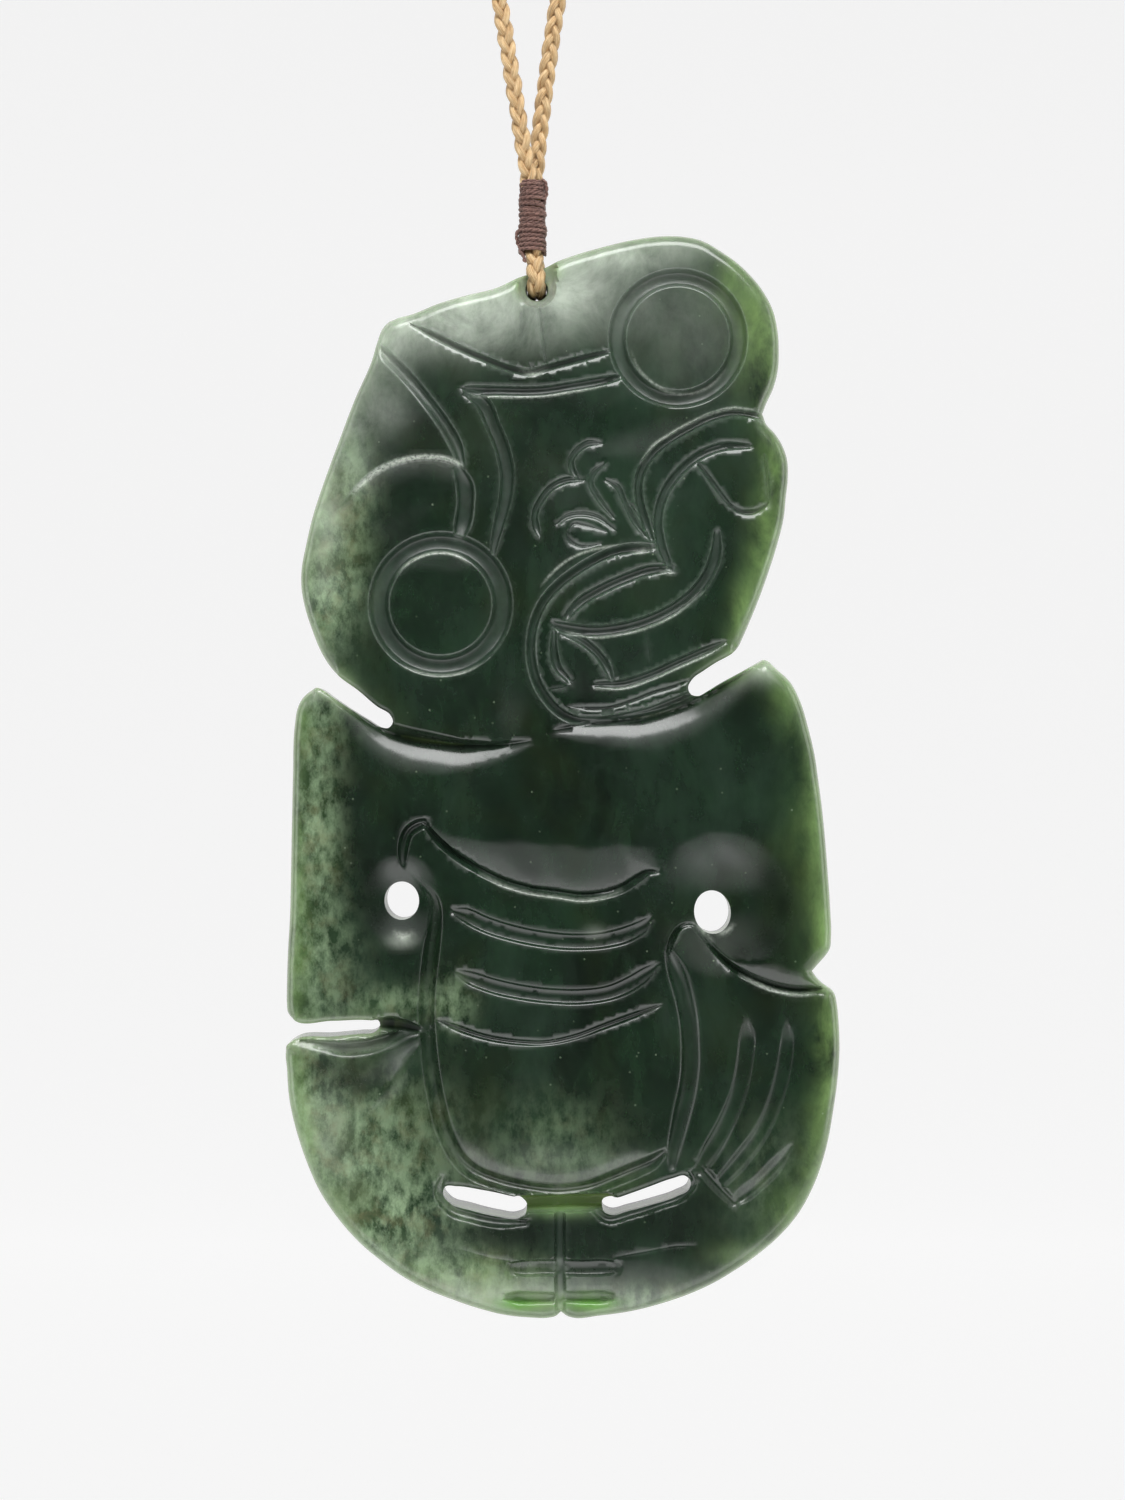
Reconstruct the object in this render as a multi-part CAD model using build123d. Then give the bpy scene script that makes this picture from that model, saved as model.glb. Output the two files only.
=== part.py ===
from build123d import *
import math
import os

# Greenstone hei tiki pendant on a plaited neck cord.
# Units are millimetres. +Z is up and the carved front of the stone faces -Y.
# The origin is where the necklace hangs: the underside of the cord at the top
# of its loop. The cord hole of the stone lies straight below it, at X = 0.

# The stone
stone_width = 55.15
stone_height = 107.65
stone_thickness = 6.4
front_round = 1.6           # rounding of the front's outer edge
back_round = 1.2            # rounding of the back's outer edge
tip_round = 1.8             # in the outline, radius of the stone's tips,
notch_round = 0.6           # of its inner corners
bend_round = 2.5            # and of the slight bends between its edges
carving_width = 1.0         # a carved line of ordinary width
carving_depth = 0.8         # and of ordinary depth

# Openings through the stone
cord_hole_diameter = 2.2
bridge_thickness = 1.9      # stone left between the worn grooves above the cord hole
groove_burr_diameter = 3.8  # the worn grooves are as round as this
groove_lean = 20.0          # they lean towards each other, in degrees
groove_length = 4.5         # from the cord hole up, past the top of the head
left_arm_hole_diameter = 3.6
right_arm_hole_diameter = 4.1
left_scoop_diameter = 9.4   # dished stone round each arm hole
right_scoop_diameter = 12.6
scoop_depth = 1.1
neck_slot_width = 1.4
side_slot_width = 1.3
foot_slot_width = 1.7

# The eyes: a plain disc inside a carved ring
eye_diameter = 10.2
eye_ring_width = 2.0
eye_ring_depth = 1.0

# The plaited cord and its binding
cord_diameter = 1.75
cord_round = 700.0          # the way round the loop, above the binding
leg_angle = 9.5             # lean of each leg of the loop, in degrees
binding_length = 7.3
binding_wall = 0.5
thread_pitch = 0.52
thread_groove = 0.13        # depth of the grooves between turns of thread
fit_gap = 0.1               # clearance between the cord and what it passes
eye_drop = 3.7              # from the binding's foot to the cord hole's centre
eye_knee_drop = 0.4         # the strands part this far below the binding
eye_heel_rise = 2.2         # and run straight down from here to the hole
eye_bend = 1.5              # bend of the cord where it enters the hole
eye_shoulder = 1.4          # bends of the cord between binding and stone
loop_corners = 5            # corners of the route round the top of the loop
arc_share = 0.45            # share of a run that the arc at each of its ends takes

# Places on the stone are in thousandths of its width and height,
# across from its middle and up from its foot.
CORD_HOLE = (-47, 950)
LEFT_ARM_HOLE = (-293, 386)
RIGHT_ARM_HOLE = (270, 374)
EYES = [(-222, 660), (209, 908)]

# Slots sawn right through. Columns: name, the two ends of the cut, width
THROUGH_SLOTS = [
    ("neck_left", (-317, 551), (-445, 592), neck_slot_width),
    ("neck_right", (238, 581), (340, 614), neck_slot_width),
    ("side_left", (-335, 270), (-520, 268), side_slot_width),
    ("foot_left", (-203, 114), (-81, 102), foot_slot_width),
    ("foot_right", (86, 104), (216, 123), foot_slot_width),
]

# The outline, clockwise from the upper left corner of the head.
# Columns: across, up, how far the edge that leads there bows outwards as a share
# of its own length, and the radius of the corner there
OUTLINE = [
    # top of the head and the right brow
    (-317, 920, 0, tip_round), (-121, 952, 0.03, bend_round), (-3, 978, 0, bend_round),
    (216, 1000, 0.05, bend_round), (390, 893, 0.176, tip_round),
    # notch at the mouth, right cheek and jaw
    (363, 834, 0.05, notch_round), (407, 777, 0.108, bend_round), (387, 715, 0.02, bend_round),
    (311, 617, 0.023, tip_round),
    # neck, right shoulder and arm
    (322, 597, 0, notch_round), (365, 608, 0, tip_round), (428, 570, 0.088, bend_round),
    (474, 443, 0.034, bend_round), (481, 341, 0.028, tip_round),
    # notch above the leg, right leg and foot
    (450, 320, 0, notch_round), (492, 300, 0, tip_round), (452, 121, 0.058, bend_round),
    (352, 59, 0.064, bend_round), (178, 13, 0.05, bend_round), (-5, 0, 0.028, bend_round),
    # left foot and leg
    (-204, 18, 0.057, bend_round), (-369, 71, 0.053, bend_round),
    (-458, 138, 0.052, bend_round), (-500, 237, 0.055, bend_round),
    # left arm, shoulder and neck
    (-487, 488, 0, bend_round), (-480, 594, 0.01, tip_round), (-390, 565, 0, notch_round),
    # left cheek and brow
    (-400, 589, 0, notch_round), (-473, 685, 0.075, bend_round),
    (-449, 745, 0.02, bend_round), (-344, 886, 0.012, bend_round),
]

# Lines carved into the front, region by region. Columns: name, width and depth
# as shares of the ordinary line's, and the points that the burr follows
FACE_LINES = [
    # brows, temples and nose
    ("forehead", 0.6, 0.5, [(-39, 932), (-30, 885)]),
    ("upper_brow", 0.85, 0.9,
     [(-272, 920), (-194, 901), (-101, 882), (-58, 876), (8, 886), (82, 896)]),
    ("lower_brow", 1.0, 0.9, [(-177, 860), (-114, 857), (-39, 857), (98, 873)]),
    ("left_brow", 0.9, 0.7, [(-335, 902), (-270, 869), (-210, 829), (-179, 791)]),
    ("left_eyelid", 0.9, 0.8, [(-395, 755), (-326, 784), (-244, 795), (-179, 791)]),
    ("left_temple", 1.8, 1.1, [(-186, 787), (-175, 759), (-184, 729)]),
    ("nose_side", 1.3, 1.1, [(-165, 857), (-128, 821), (-99, 780), (-114, 736), (-128, 704)]),
    ("nostril_upper", 0.8, 0.6, [(64, 809), (22, 804), (17, 790), (28, 776)]),
    ("nostril_lower", 0.8, 0.6, [(28, 775), (-18, 769), (-49, 746), (-43, 725)]),
    ("leaf_left", 0.7, 0.6, [(-7, 737), (31, 744), (93, 729)]),
    ("leaf_left_low", 0.7, 0.6, [(20, 715), (69, 716)]),
    ("leaf_right_upper", 0.7, 0.6, [(71, 789), (53, 776), (89, 742)]),
    ("leaf_right_lower", 0.7, 0.6, [(78, 776), (111, 755), (149, 723)]),
    # mouth, lips, tongue and jaw
    ("mouth_right", 1.0, 1.0,
     [(363, 833), (274, 837), (191, 815), (133, 780), (136, 752), (158, 722)]),
    ("mouth_left", 1.2, 1.1,
     [(158, 710), (60, 701), (-10, 676), (-52, 636), (-45, 589), (24, 554), (111, 558),
      (240, 583)]),
    ("lip_right", 1.0, 1.0, [(334, 806), (249, 799), (184, 765), (171, 739), (196, 693)]),
    ("lip_upper", 1.1, 1.0, [(185, 695), (77, 676), (4, 650)]),
    ("lip_lower", 1.0, 1.0, [(-12, 638), (104, 637), (216, 660), (272, 688), (282, 725)]),
    ("cheek", 0.7, 0.6, [(247, 791), (280, 767), (312, 750), (372, 753)]),
    ("tongue", 0.9, 0.7, [(-10, 637), (53, 621), (95, 593)]),
    ("teeth", 1.0, 0.7, [(-12, 636), (-12, 613), (17, 590)]),
    ("jaw", 0.85, 0.7, [(62, 586), (149, 593), (289, 624)]),
]
BODY_LINES = [
    # shoulders and breast
    ("shoulder_left", 3.2, 1.5, [(-422, 574), (-302, 539), (-204, 524), (-105, 523)]),
    ("shoulder_right", 3.0, 1.5, [(352, 600), (231, 566), (131, 546), (31, 542)]),
    ("breast", 4.5, 1.0, [(-280, 470), (-160, 442), (0, 422), (160, 432), (285, 430)]),
    ("chest", 1.4, 1.2,
     [(-288, 412), (-286, 443), (-252, 457), (-188, 425), (-87, 399), (31, 389), (113, 399),
      (176, 411)]),
    # sides of the body, thigh, ribs and belly
    ("flank_left", 1.5, 1.4,
     [(-273, 408), (-221, 362), (-246, 293), (-230, 195), (-163, 134), (-7, 115), (129, 136),
      (180, 151)]),
    ("flank_right", 1.5, 1.2, [(198, 334), (234, 260), (216, 181), (198, 142)]),
    ("thigh", 1.5, 1.3, [(200, 344), (231, 361), (278, 333), (352, 308), (470, 301)]),
    ("rib_1_top", 0.8, 0.7, [(-195, 376), (-92, 364), (31, 355), (156, 369)]),
    ("rib_1_low", 0.8, 0.7, [(-188, 366), (-96, 342), (49, 339), (158, 365)]),
    ("rib_2_top", 0.8, 0.7, [(-188, 320), (-92, 312), (31, 306), (164, 326)]),
    ("rib_2_low", 0.8, 0.7, [(-183, 311), (-96, 292), (49, 289), (171, 319)]),
    ("belly", 0.8, 0.8, [(-221, 273), (-141, 258), (-32, 253), (176, 287)]),
]
LEG_LINES = [
    # fingers on the thigh, hip, and the fork above the feet
    ("finger_1", 1.6, 1.0, [(332, 265), (321, 214), (256, 144)]),
    ("finger_2", 1.5, 1.0, [(407, 264), (392, 206), (278, 122)]),
    ("finger_3", 1.2, 0.8, [(412, 153), (361, 122), (312, 104)]),
    ("hip_left", 2.0, 1.4, [(-340, 269), (-295, 265), (-244, 263)]),
    ("crotch", 1.8, 1.6, [(-87, 104), (-5, 101), (89, 105)]),
]
FOOT_LINES = [
    # the parting between the feet and their toes
    ("feet", 1.3, 1.1, [(-5, 107), (-5, -8)]),
    ("toe_upper", 1.6, 1.0, [(-87, 44), (93, 44)]),
    ("toe_lower", 1.3, 1.0, [(-103, 16), (93, 16)]),
]

# The loop of cord is a drop: straight legs under load, and a round top
lean = math.radians(leg_angle)
loop_reach = cord_round / (2 * math.cos(lean) + (math.pi + 2 * lean) * math.sin(lean))
loop_radius = loop_reach * math.sin(lean)
corner_turn = (math.pi + 2 * lean) / loop_corners
cord_radius = cord_diameter / 2
straight_share = 1 - 2 * arc_share
loop_rise = loop_radius * (2 * arc_share + straight_share / math.cos(corner_turn / 2))
loop_centre_z = cord_radius - loop_rise
binding_top_z = loop_centre_z - loop_reach
binding_foot_z = binding_top_z - binding_length
strand_joint_z = (binding_top_z + binding_foot_z) / 2
cord_hole_z = binding_foot_z - eye_drop

# The two strands lie one in front of the other in the binding, and below it
# they pass in front of and behind the bridge of stone above the hole
face_y = stone_thickness / 2
strand_y = cord_radius + fit_gap / 2
bridge_y = bridge_thickness / 2
strand_out_y = bridge_y + cord_radius + 2 * fit_gap


def on_stone(place):
    """X and Z of a place on the stone."""
    across = (place[0] - CORD_HOLE[0]) / 1000 * stone_width
    up = (place[1] - CORD_HOLE[1]) / 1000 * stone_height
    return across, cord_hole_z + up


def bowed_edge(start, end, bow):
    """A line, or the arc whose height is a share of its own chord, on the back."""
    first = Vector(start[0], face_y, start[1])
    last = Vector(end[0], face_y, end[1])
    if bow == 0:
        return Line(first, last)
    chord = last - first
    outward = Vector(-chord.Z, 0, chord.X)
    return ThreePointArc(first, (first + last) / 2 + outward * bow, last)


def corner_radius(before, corner, after):
    """The radius of the largest arc that the runs on both sides leave room for."""
    run_in = corner - before
    run_out = after - corner
    turn = math.radians(run_in.get_angle(run_out))
    return arc_share * min(run_in.length, run_out.length) / math.tan(turn / 2)


def open_radii(points):
    """The largest radius for each inner corner of a route."""
    trios = zip(points, points[1:], points[2:])
    return [corner_radius(*trio) for trio in trios]


def tube(points, radii, radius):
    """A round rod along straight runs joined by tangent arcs."""
    path = FilletPolyline(*points, radius=radii)
    section = Plane(origin=path @ 0, z_dir=path % 0) * Circle(radius)
    return sweep(section, path=path)


def burr_radius(width, depth):
    """Radius of the round burr that cuts a line this wide and this deep."""
    return (width ** 2 / 4 + depth ** 2) / (2 * depth)


def carved_line(width_share, depth_share, places):
    """What a round burr takes away along a line, let in and lifted out at its ends."""
    depth = depth_share * carving_depth
    radius = burr_radius(width_share * carving_width, depth)
    flat = [on_stone(place) for place in places]
    if len(flat) == 2:
        middle = tuple((a + b) / 2 for a, b in zip(*flat))
        flat.insert(1, middle)
    in_stone = -face_y - radius + depth
    lifted = -face_y - radius
    heights = [lifted] + [in_stone] * (len(flat) - 2) + [lifted]
    points = [Vector(x, y, z) for (x, z), y in zip(flat, heights)]
    return tube(points, open_radii(points), radius)


def bored(place, diameter):
    """A round hole from front to back."""
    x, z = on_stone(place)
    plane = Plane(origin=(x, 0, z), z_dir=(0, 1, 0))
    return plane * Cylinder(diameter / 2, stone_thickness * 2)


def scooped(place, diameter):
    """The shallow dish in the front round an arm hole."""
    x, z = on_stone(place)
    radius = burr_radius(diameter, scoop_depth)
    return Pos(x, -face_y - radius + scoop_depth, z) * Sphere(radius)


def sawn(start, end, width):
    """A slot with round ends from front to back."""
    x1, z1 = on_stone(start)
    x2, z2 = on_stone(end)
    along = Vector(x2 - x1, 0, z2 - z1)
    middle = ((x1 + x2) / 2, 0, (z1 + z2) / 2)
    plane = Plane(origin=middle, x_dir=along, z_dir=(0, -1, 0))
    outline = plane * SlotCenterToCenter(along.length, width)
    return extrude(outline, amount=stone_thickness, both=True)


def eye_ring(place):
    """The round groove about an eye."""
    x, z = on_stone(place)
    radius = burr_radius(eye_ring_width, eye_ring_depth)
    plane = Plane(origin=(x, -face_y - radius + eye_ring_depth, z), z_dir=(0, 1, 0))
    return plane * Torus((eye_diameter + eye_ring_width) / 2, radius)


def worn_groove(side):
    """The groove that the cord lies in above its hole, on one face."""
    radius = groove_burr_diameter / 2
    lean_in = math.radians(groove_lean)
    out = bridge_y + radius + cord_hole_diameter / 2 * math.tan(lean_in)
    up = (0, -side * math.sin(lean_in), math.cos(lean_in))
    plane = Plane(origin=(0, side * out, cord_hole_z), z_dir=up)
    from_low_end = (Align.CENTER, Align.CENTER, Align.MIN)
    shaft = plane * Cylinder(radius, groove_length, align=from_low_end)
    return shaft + plane * Sphere(radius)


def blank_stone():
    """The slab in outline, with both outer edges rounded."""
    corners = [on_stone(row[:2]) for row in OUTLINE]
    starts = [corners[-1]] + corners[:-1]
    edges = [bowed_edge(start, end, row[2]) for start, end, row in zip(starts, corners, OUTLINE)]
    face = Face(Wire(edges))
    for (x, z), row in zip(corners, OUTLINE):
        place = Vector(x, face_y, z)
        corner = min(face.vertices(), key=lambda v: (Vector(*v) - place).length)
        face = face.fillet_2d(row[3], [corner])
    slab = extrude(face, amount=stone_thickness, dir=(0, -1, 0))
    front_edges = slab.edges().filter_by(lambda edge: abs(edge.center().Y + face_y) < 1e-6)
    slab = fillet(front_edges, front_round)
    back_edges = slab.edges().filter_by(lambda edge: abs(edge.center().Y - face_y) < 1e-6)
    return fillet(back_edges, back_round)


def pendant():
    """The carved stone."""
    stone = blank_stone()
    openings = [sawn(start, end, width) for name, start, end, width in THROUGH_SLOTS]
    openings.append(bored(CORD_HOLE, cord_hole_diameter))
    openings.append(bored(LEFT_ARM_HOLE, left_arm_hole_diameter))
    openings.append(bored(RIGHT_ARM_HOLE, right_arm_hole_diameter))
    openings.append(scooped(LEFT_ARM_HOLE, left_scoop_diameter))
    openings.append(scooped(RIGHT_ARM_HOLE, right_scoop_diameter))
    openings += [worn_groove(side) for side in (-1, 1)]
    openings += [eye_ring(place) for place in EYES]
    stone -= openings
    for region in (FACE_LINES, BODY_LINES, LEG_LINES, FOOT_LINES):
        stone -= [carved_line(width, depth, places) for name, width, depth, places in region]
    return stone


def neck_cord():
    """The cord from inside the binding up one leg, round the top and down the other."""
    corner_out = loop_radius / math.cos(corner_turn / 2)
    top = []
    for index in range(loop_corners):
        angle = math.pi + lean - corner_turn * (index + 0.5)
        x = corner_out * math.cos(angle)
        z = loop_centre_z + corner_out * math.sin(angle)
        top.append(Vector(x, 0, z))
    points = [Vector(0, -strand_y, strand_joint_z), Vector(0, -strand_y, binding_top_z)]
    points += top
    points += [Vector(0, strand_y, binding_top_z), Vector(0, strand_y, strand_joint_z)]
    radii = open_radii(points)
    print("neck cord radii", [round(radius, 1) for radius in radii])
    return tube(points, radii, cord_radius)


def cord_eye():
    """The cord from inside the binding down through the hole and up again behind."""
    knee_z = binding_foot_z - eye_knee_drop
    heel_z = cord_hole_z + eye_heel_rise
    points = [
        Vector(0, -strand_y, strand_joint_z),
        Vector(0, -strand_y, knee_z),
        Vector(0, -strand_out_y, heel_z),
        Vector(0, -strand_out_y, cord_hole_z),
        Vector(0, strand_out_y, cord_hole_z),
        Vector(0, strand_out_y, heel_z),
        Vector(0, strand_y, knee_z),
        Vector(0, strand_y, strand_joint_z),
    ]
    radii = [eye_shoulder, eye_shoulder, eye_bend, eye_bend, eye_shoulder, eye_shoulder]
    return tube(points, radii, cord_radius)


def binding():
    """Thread wound round both strands: one ridge for each turn, open inside."""
    turns = round(binding_length / thread_pitch)
    ridge = binding_length / turns
    bore_width = cord_diameter + 2 * fit_gap
    outer_width = bore_width + 2 * binding_wall
    between = 2 * strand_y
    sleeve = None
    for index in range(turns):
        plane = Plane(origin=(0, 0, binding_foot_z + index * ridge), x_dir=(0, 1, 0), z_dir=(0, 0, 1))
        turn = extrude(plane * SlotCenterToCenter(between, outer_width), amount=ridge)
        rims = turn.edges().filter_by(Axis.Z, reverse=True)
        turn = chamfer(rims, thread_groove)
        sleeve = turn if sleeve is None else sleeve + turn
    plane = Plane(origin=(0, 0, binding_foot_z), x_dir=(0, 1, 0), z_dir=(0, 0, 1))
    bore = extrude(plane * SlotCenterToCenter(between, bore_width), amount=binding_length)
    return sleeve - bore


os.makedirs("parts", exist_ok=True)
NODES = {"pendant": pendant, "neck_cord": neck_cord, "cord_eye": cord_eye, "binding": binding}
for name, make in NODES.items():
    solid = make()
    solid.label = name
    export_step(solid, f"parts/{name}.step")
    print(name, round(solid.volume, 1))
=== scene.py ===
# %% [markdown]
# # Greenstone hei tiki on a plaited cord
#
# This file dresses the solid model of a carved nephrite pendant. Each step first
# says what the piece is on the real object and how it can be made in Blender.
# The solids are loaded as a fixed frame. Everything is in metres, with +Z up, +X to
# the right of the carved front and +Y towards the plain back.

# %% Load the frame
import math
import random

import bmesh
import bpy
import numpy as np
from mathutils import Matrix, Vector
from mathutils.geometry import delaunay_2d_cdt


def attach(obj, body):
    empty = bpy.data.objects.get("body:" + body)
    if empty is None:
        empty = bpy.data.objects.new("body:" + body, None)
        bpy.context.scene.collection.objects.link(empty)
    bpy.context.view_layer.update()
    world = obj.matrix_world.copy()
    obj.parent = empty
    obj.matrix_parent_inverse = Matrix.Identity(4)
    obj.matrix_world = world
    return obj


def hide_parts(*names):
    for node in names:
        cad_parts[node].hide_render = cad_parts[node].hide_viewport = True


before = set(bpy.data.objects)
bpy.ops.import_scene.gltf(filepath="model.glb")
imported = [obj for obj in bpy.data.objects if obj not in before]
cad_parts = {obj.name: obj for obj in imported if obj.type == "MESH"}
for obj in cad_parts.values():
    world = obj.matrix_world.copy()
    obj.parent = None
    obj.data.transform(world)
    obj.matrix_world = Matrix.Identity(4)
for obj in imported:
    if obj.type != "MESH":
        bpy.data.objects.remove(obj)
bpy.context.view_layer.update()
MM = 0.001

# %% [markdown]
# ## Places on the stone
#
# The places below were read from the photograph, in tenths of a millimetre
# from its upper left corner, because the stone is ten of its pixels to the
# millimetre. The cord hole ties both together: it is the origin of X, and its
# height is known from the solid model. A lens also shows the near face a little
# larger than the middle of the stone, so marks on the face are drawn in by 1%.

# %% From the picture to the stone
HOLE_PLACE = (536.8, 292.3)
HOLE_Z = -330.756
VIEW_CENTRE = (562.5, 750.0)
VIEW_DISTANCE = 320.0
HALF_THICK = 3.2
FACE_SHRINK = (VIEW_DISTANCE - HALF_THICK) / VIEW_DISTANCE


def place(point):
    """Millimetres across and up for a mark at the stone's outline."""
    return ((point[0] - HOLE_PLACE[0]) / 10, HOLE_Z - (point[1] - HOLE_PLACE[1]) / 10)


def face_place(point):
    """Millimetres across and up for a mark on the near face."""
    return place([middle + (mark - middle) * FACE_SHRINK
                  for mark, middle in zip(point, VIEW_CENTRE)])


middle_x, middle_z = place(VIEW_CENTRE)
print("the picture's centre is at", round(middle_x, 2), round(middle_z, 2), "mm")

# %% [markdown]
# ## The camera
#
# The photograph looks straight at the carved face from about 320 mm, close enough
# to see into the holes and slots. The stone fills 150 mm of the picture's height,
# which gives the lens.

# %% Make the camera
def link(name, data):
    """A new object in the scene."""
    made = bpy.data.objects.new(name, data)
    bpy.context.scene.collection.objects.link(made)
    return made


SENSOR = 36.0
PICTURE_HEIGHT = 150.0
camera_data = bpy.data.cameras.new("camera")
camera_data.sensor_width = SENSOR
camera_data.lens = SENSOR * VIEW_DISTANCE / PICTURE_HEIGHT
camera_data.clip_start = 0.01
camera_data.clip_end = 30
camera = link("camera", camera_data)
camera.location = (middle_x * MM, -VIEW_DISTANCE * MM, middle_z * MM)
camera.rotation_euler = (math.radians(90), 0, 0)
bpy.context.scene.camera = camera
print("lens", round(camera_data.lens, 1), "mm")

# %% [markdown]
# ## The outline of the stone
#
# The outline was ground and filed by hand, so it has soft bows between a few
# crisp tips. It is drawn as smooth curves through the points, broken at the tips.
# The three slots that run in from the side are part of it: two part the head from
# the shoulders, and one parts the left hand from the thigh. A row begins with 1
# where the edge is sawn, and a place ends with 1 where the edge breaks at a tip. All
# such tables here are plain text, which keeps them short and easy to check.

# %% Read places from a written table
def places(text):
    """Rows of numbers, each row written with commas between them."""
    return [tuple(float(number) for number in row.split(",")) for row in text.split()]


def table(text):
    """Rows of a written table: numbers, a bar and places. A line without a bar goes on."""
    rows = []
    for line in text.strip().splitlines():
        if not line.strip().startswith("#"):
            numbers, bar, rest = line.rpartition("|")
            if bar:
                rows.append((*(float(number) for number in numbers.split()), []))
            rows[-1][-1].extend(places(rest))
    return rows


print("a written row reads as", table(".5 | 10,20 30,40,.8")[0])

# %% Outline points
OUTLINE = table("""
    # top of the head, from its left corner to the notch at the mouth
    0 | 383,331 388,325 396,321 413,316 439,305.5 468,297 496,290 520,279 540,271 561,262 596,251
        634,242 663,238.5 682,239 701,243 722,255 735,264 749,277 762,293 772,312 776.5,331
        778,354 777,372 772,391 765.5,405 761.5,415.5,1
    # right cheek and jaw
    0 | 765,425 774,435 781,446 786,460 787,479 785,498 783,518 776.5,545 768,572 758,600 749,622
        742,638 737,648
    # right neck slot
    1 | 731,654 716,662.5 703,671 691,680 687,688 690,695 697,696.5 707,691.5 720,683.5 743,671
    0 | 757,663 763,660
    # right shoulder and arm
    0 | 767,661.5 774,668 789,682 799,701 807,727 814,757 817,778 821,808 824,838 826.5,869
        829,905 830,937 829,947 825,954 818,962 811,970,1
    # right thigh, foot and the small notch between the feet
    0 | 817,978 825,985 831,989 834,994 835.5,1001 837.5,1020 838.5,1048 836.5,1078 832.5,1107
        825,1147 812,1185 797,1212 779,1233 757,1252 734,1268 712,1281 690,1291 661,1301 634,1308
        600,1313 572,1315 567,1313.5 561,1309,1
    # left foot and leg
    0 | 556,1313.5 550,1315 530,1315 503,1312 476,1305 450,1296 423,1285 401,1272.5 380,1257
        360,1240 346,1225 332,1207 320,1188 310,1166 301,1141 294,1116 290,1095 288,1067 287,1050
    # left side slot
    1 | 289,1043 295,1038.5 334,1034.5 360,1032 376,1030 381,1025 380,1019 372,1018 334,1018.5
        297,1018.5
    0 | 292,1015 289,1011
    # left arm and shoulder
    0 | 288,1003 288,985 289,951 291,916 292,873 293,820 294,775 296,724 298.5,709 304,698
        313,690.5
    # left neck slot
    1 | 319,688 325,691 334,697.5 351,709 369,720 382,727.5 390,728 394.5,722 392,715.5 379,707
        360,691 341,677
    0 | 332,668
    # left cheek and brow
    0 | 323,654 313,630 306,608 302.4,588 302.4,572 307,546 315,513 325,483 340,442 356,400
        373,361 378,344
""")
STEP = 0.28


def smooth_run(points, step, closed=False):
    """Evenly spaced points on the smooth curve through some points."""
    points = np.array(points, float)
    count = len(points)
    out = []
    for i in range(count if closed else count - 1):
        a, b = points[i], points[(i + 1) % count]
        before = points[i - 1] if closed or i > 0 else 2 * a - b
        after = points[(i + 2) % count] if closed or i + 2 < count else 2 * b - a
        gap = np.linalg.norm(b[:2] - a[:2])
        t = np.linspace(0, 1, max(2, int(gap / step * 3)), endpoint=False)[:, None]
        h_before = gap / max(np.linalg.norm(a[:2] - before[:2]), 1e-6)
        h_after = gap / max(np.linalg.norm(after[:2] - b[:2]), 1e-6)
        tan_a = (b - a + (a - before) * h_before ** 2) / (1 + h_before)
        tan_b = (b - a + (after - b) * h_after ** 2) / (1 + h_after)
        out.append((2 * t ** 3 - 3 * t ** 2 + 1) * a + (t ** 3 - 2 * t ** 2 + t) * tan_a
                   + (3 * t ** 2 - 2 * t ** 3) * b + (t ** 3 - t ** 2) * tan_b)
    fine = np.vstack(out + [points[:1] if closed else points[-1:]])
    along = np.r_[0, np.cumsum(np.linalg.norm(np.diff(fine[:, :2], axis=0), axis=1))]
    at = np.linspace(0, along[-1], max(2, int(round(along[-1] / step))) + 1)
    even = np.stack([np.interp(at, along, values) for values in fine.T], 1)
    return even[:-1] if closed else even


rows = [(*place(spot), sawn, len(spot) > 2) for sawn, run in OUTLINE for spot in run]
first = [row[3] for row in rows].index(True)
rows = rows[first:] + rows[:first + 1]
tips = [i for i, row in enumerate(rows) if row[3]]
outline = np.vstack([smooth_run([row[:3] for row in rows[a:b + 1]], STEP)[:-1]
                     for a, b in zip(tips, tips[1:])])
print("outline of", len(outline), "points")

# %% [markdown]
# ## Holes and slots
#
# The arm holes were drilled from both faces. The two slots above the feet were
# sawn from drilled ends. They are closed loops of points that run round the hole.

# %% Hole loops
def round_hole(centre, across, up, turn=0.0):
    """A loop round an oval hole of these radii in millimetres."""
    x, z = place(centre)
    number = int(2 * math.pi * max(across, up) / STEP)
    angle = np.linspace(0, 2 * math.pi, number, endpoint=False)
    lean = math.radians(turn)
    flat_x, flat_z = across * np.cos(angle), up * np.sin(angle)
    return np.stack([x + flat_x * math.cos(lean) - flat_z * math.sin(lean),
                     z + flat_x * math.sin(lean) + flat_z * math.cos(lean)], 1)


def drawn_hole(text):
    """A smooth loop through places that were read from the picture."""
    return smooth_run([place(spot) for spot in places(text)], STEP, closed=True)


HOLES = [
    # the loop, and how far its rim is rounded in millimetres
    (round_hole(HOLE_PLACE, 1.1, 1.1), 0.35),
    (round_hole((403, 899.5), 1.72, 1.9), 0.3),
    (round_hole((711.5, 911), 1.82, 2.16, 8), 0.3),
    (drawn_hole("446,1183 458,1182.5 482,1186 506,1191 522,1196 527,1202 "
                "525,1211 516,1215 498,1213 470,1206 451,1200 444,1191"), 0.35),
    (drawn_hole("602,1199 620,1193 648,1183 672,1174.5 684,1172 689.5,1177 "
                "688,1186 676,1193 652,1201 628,1207.5 610,1211 603,1207"), 0.35),
]
loops = [outline] + [np.c_[loop, np.zeros(len(loop))] for loop, rim in HOLES]
print([len(loop) for loop in loops], "points round the stone and its holes")

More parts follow.
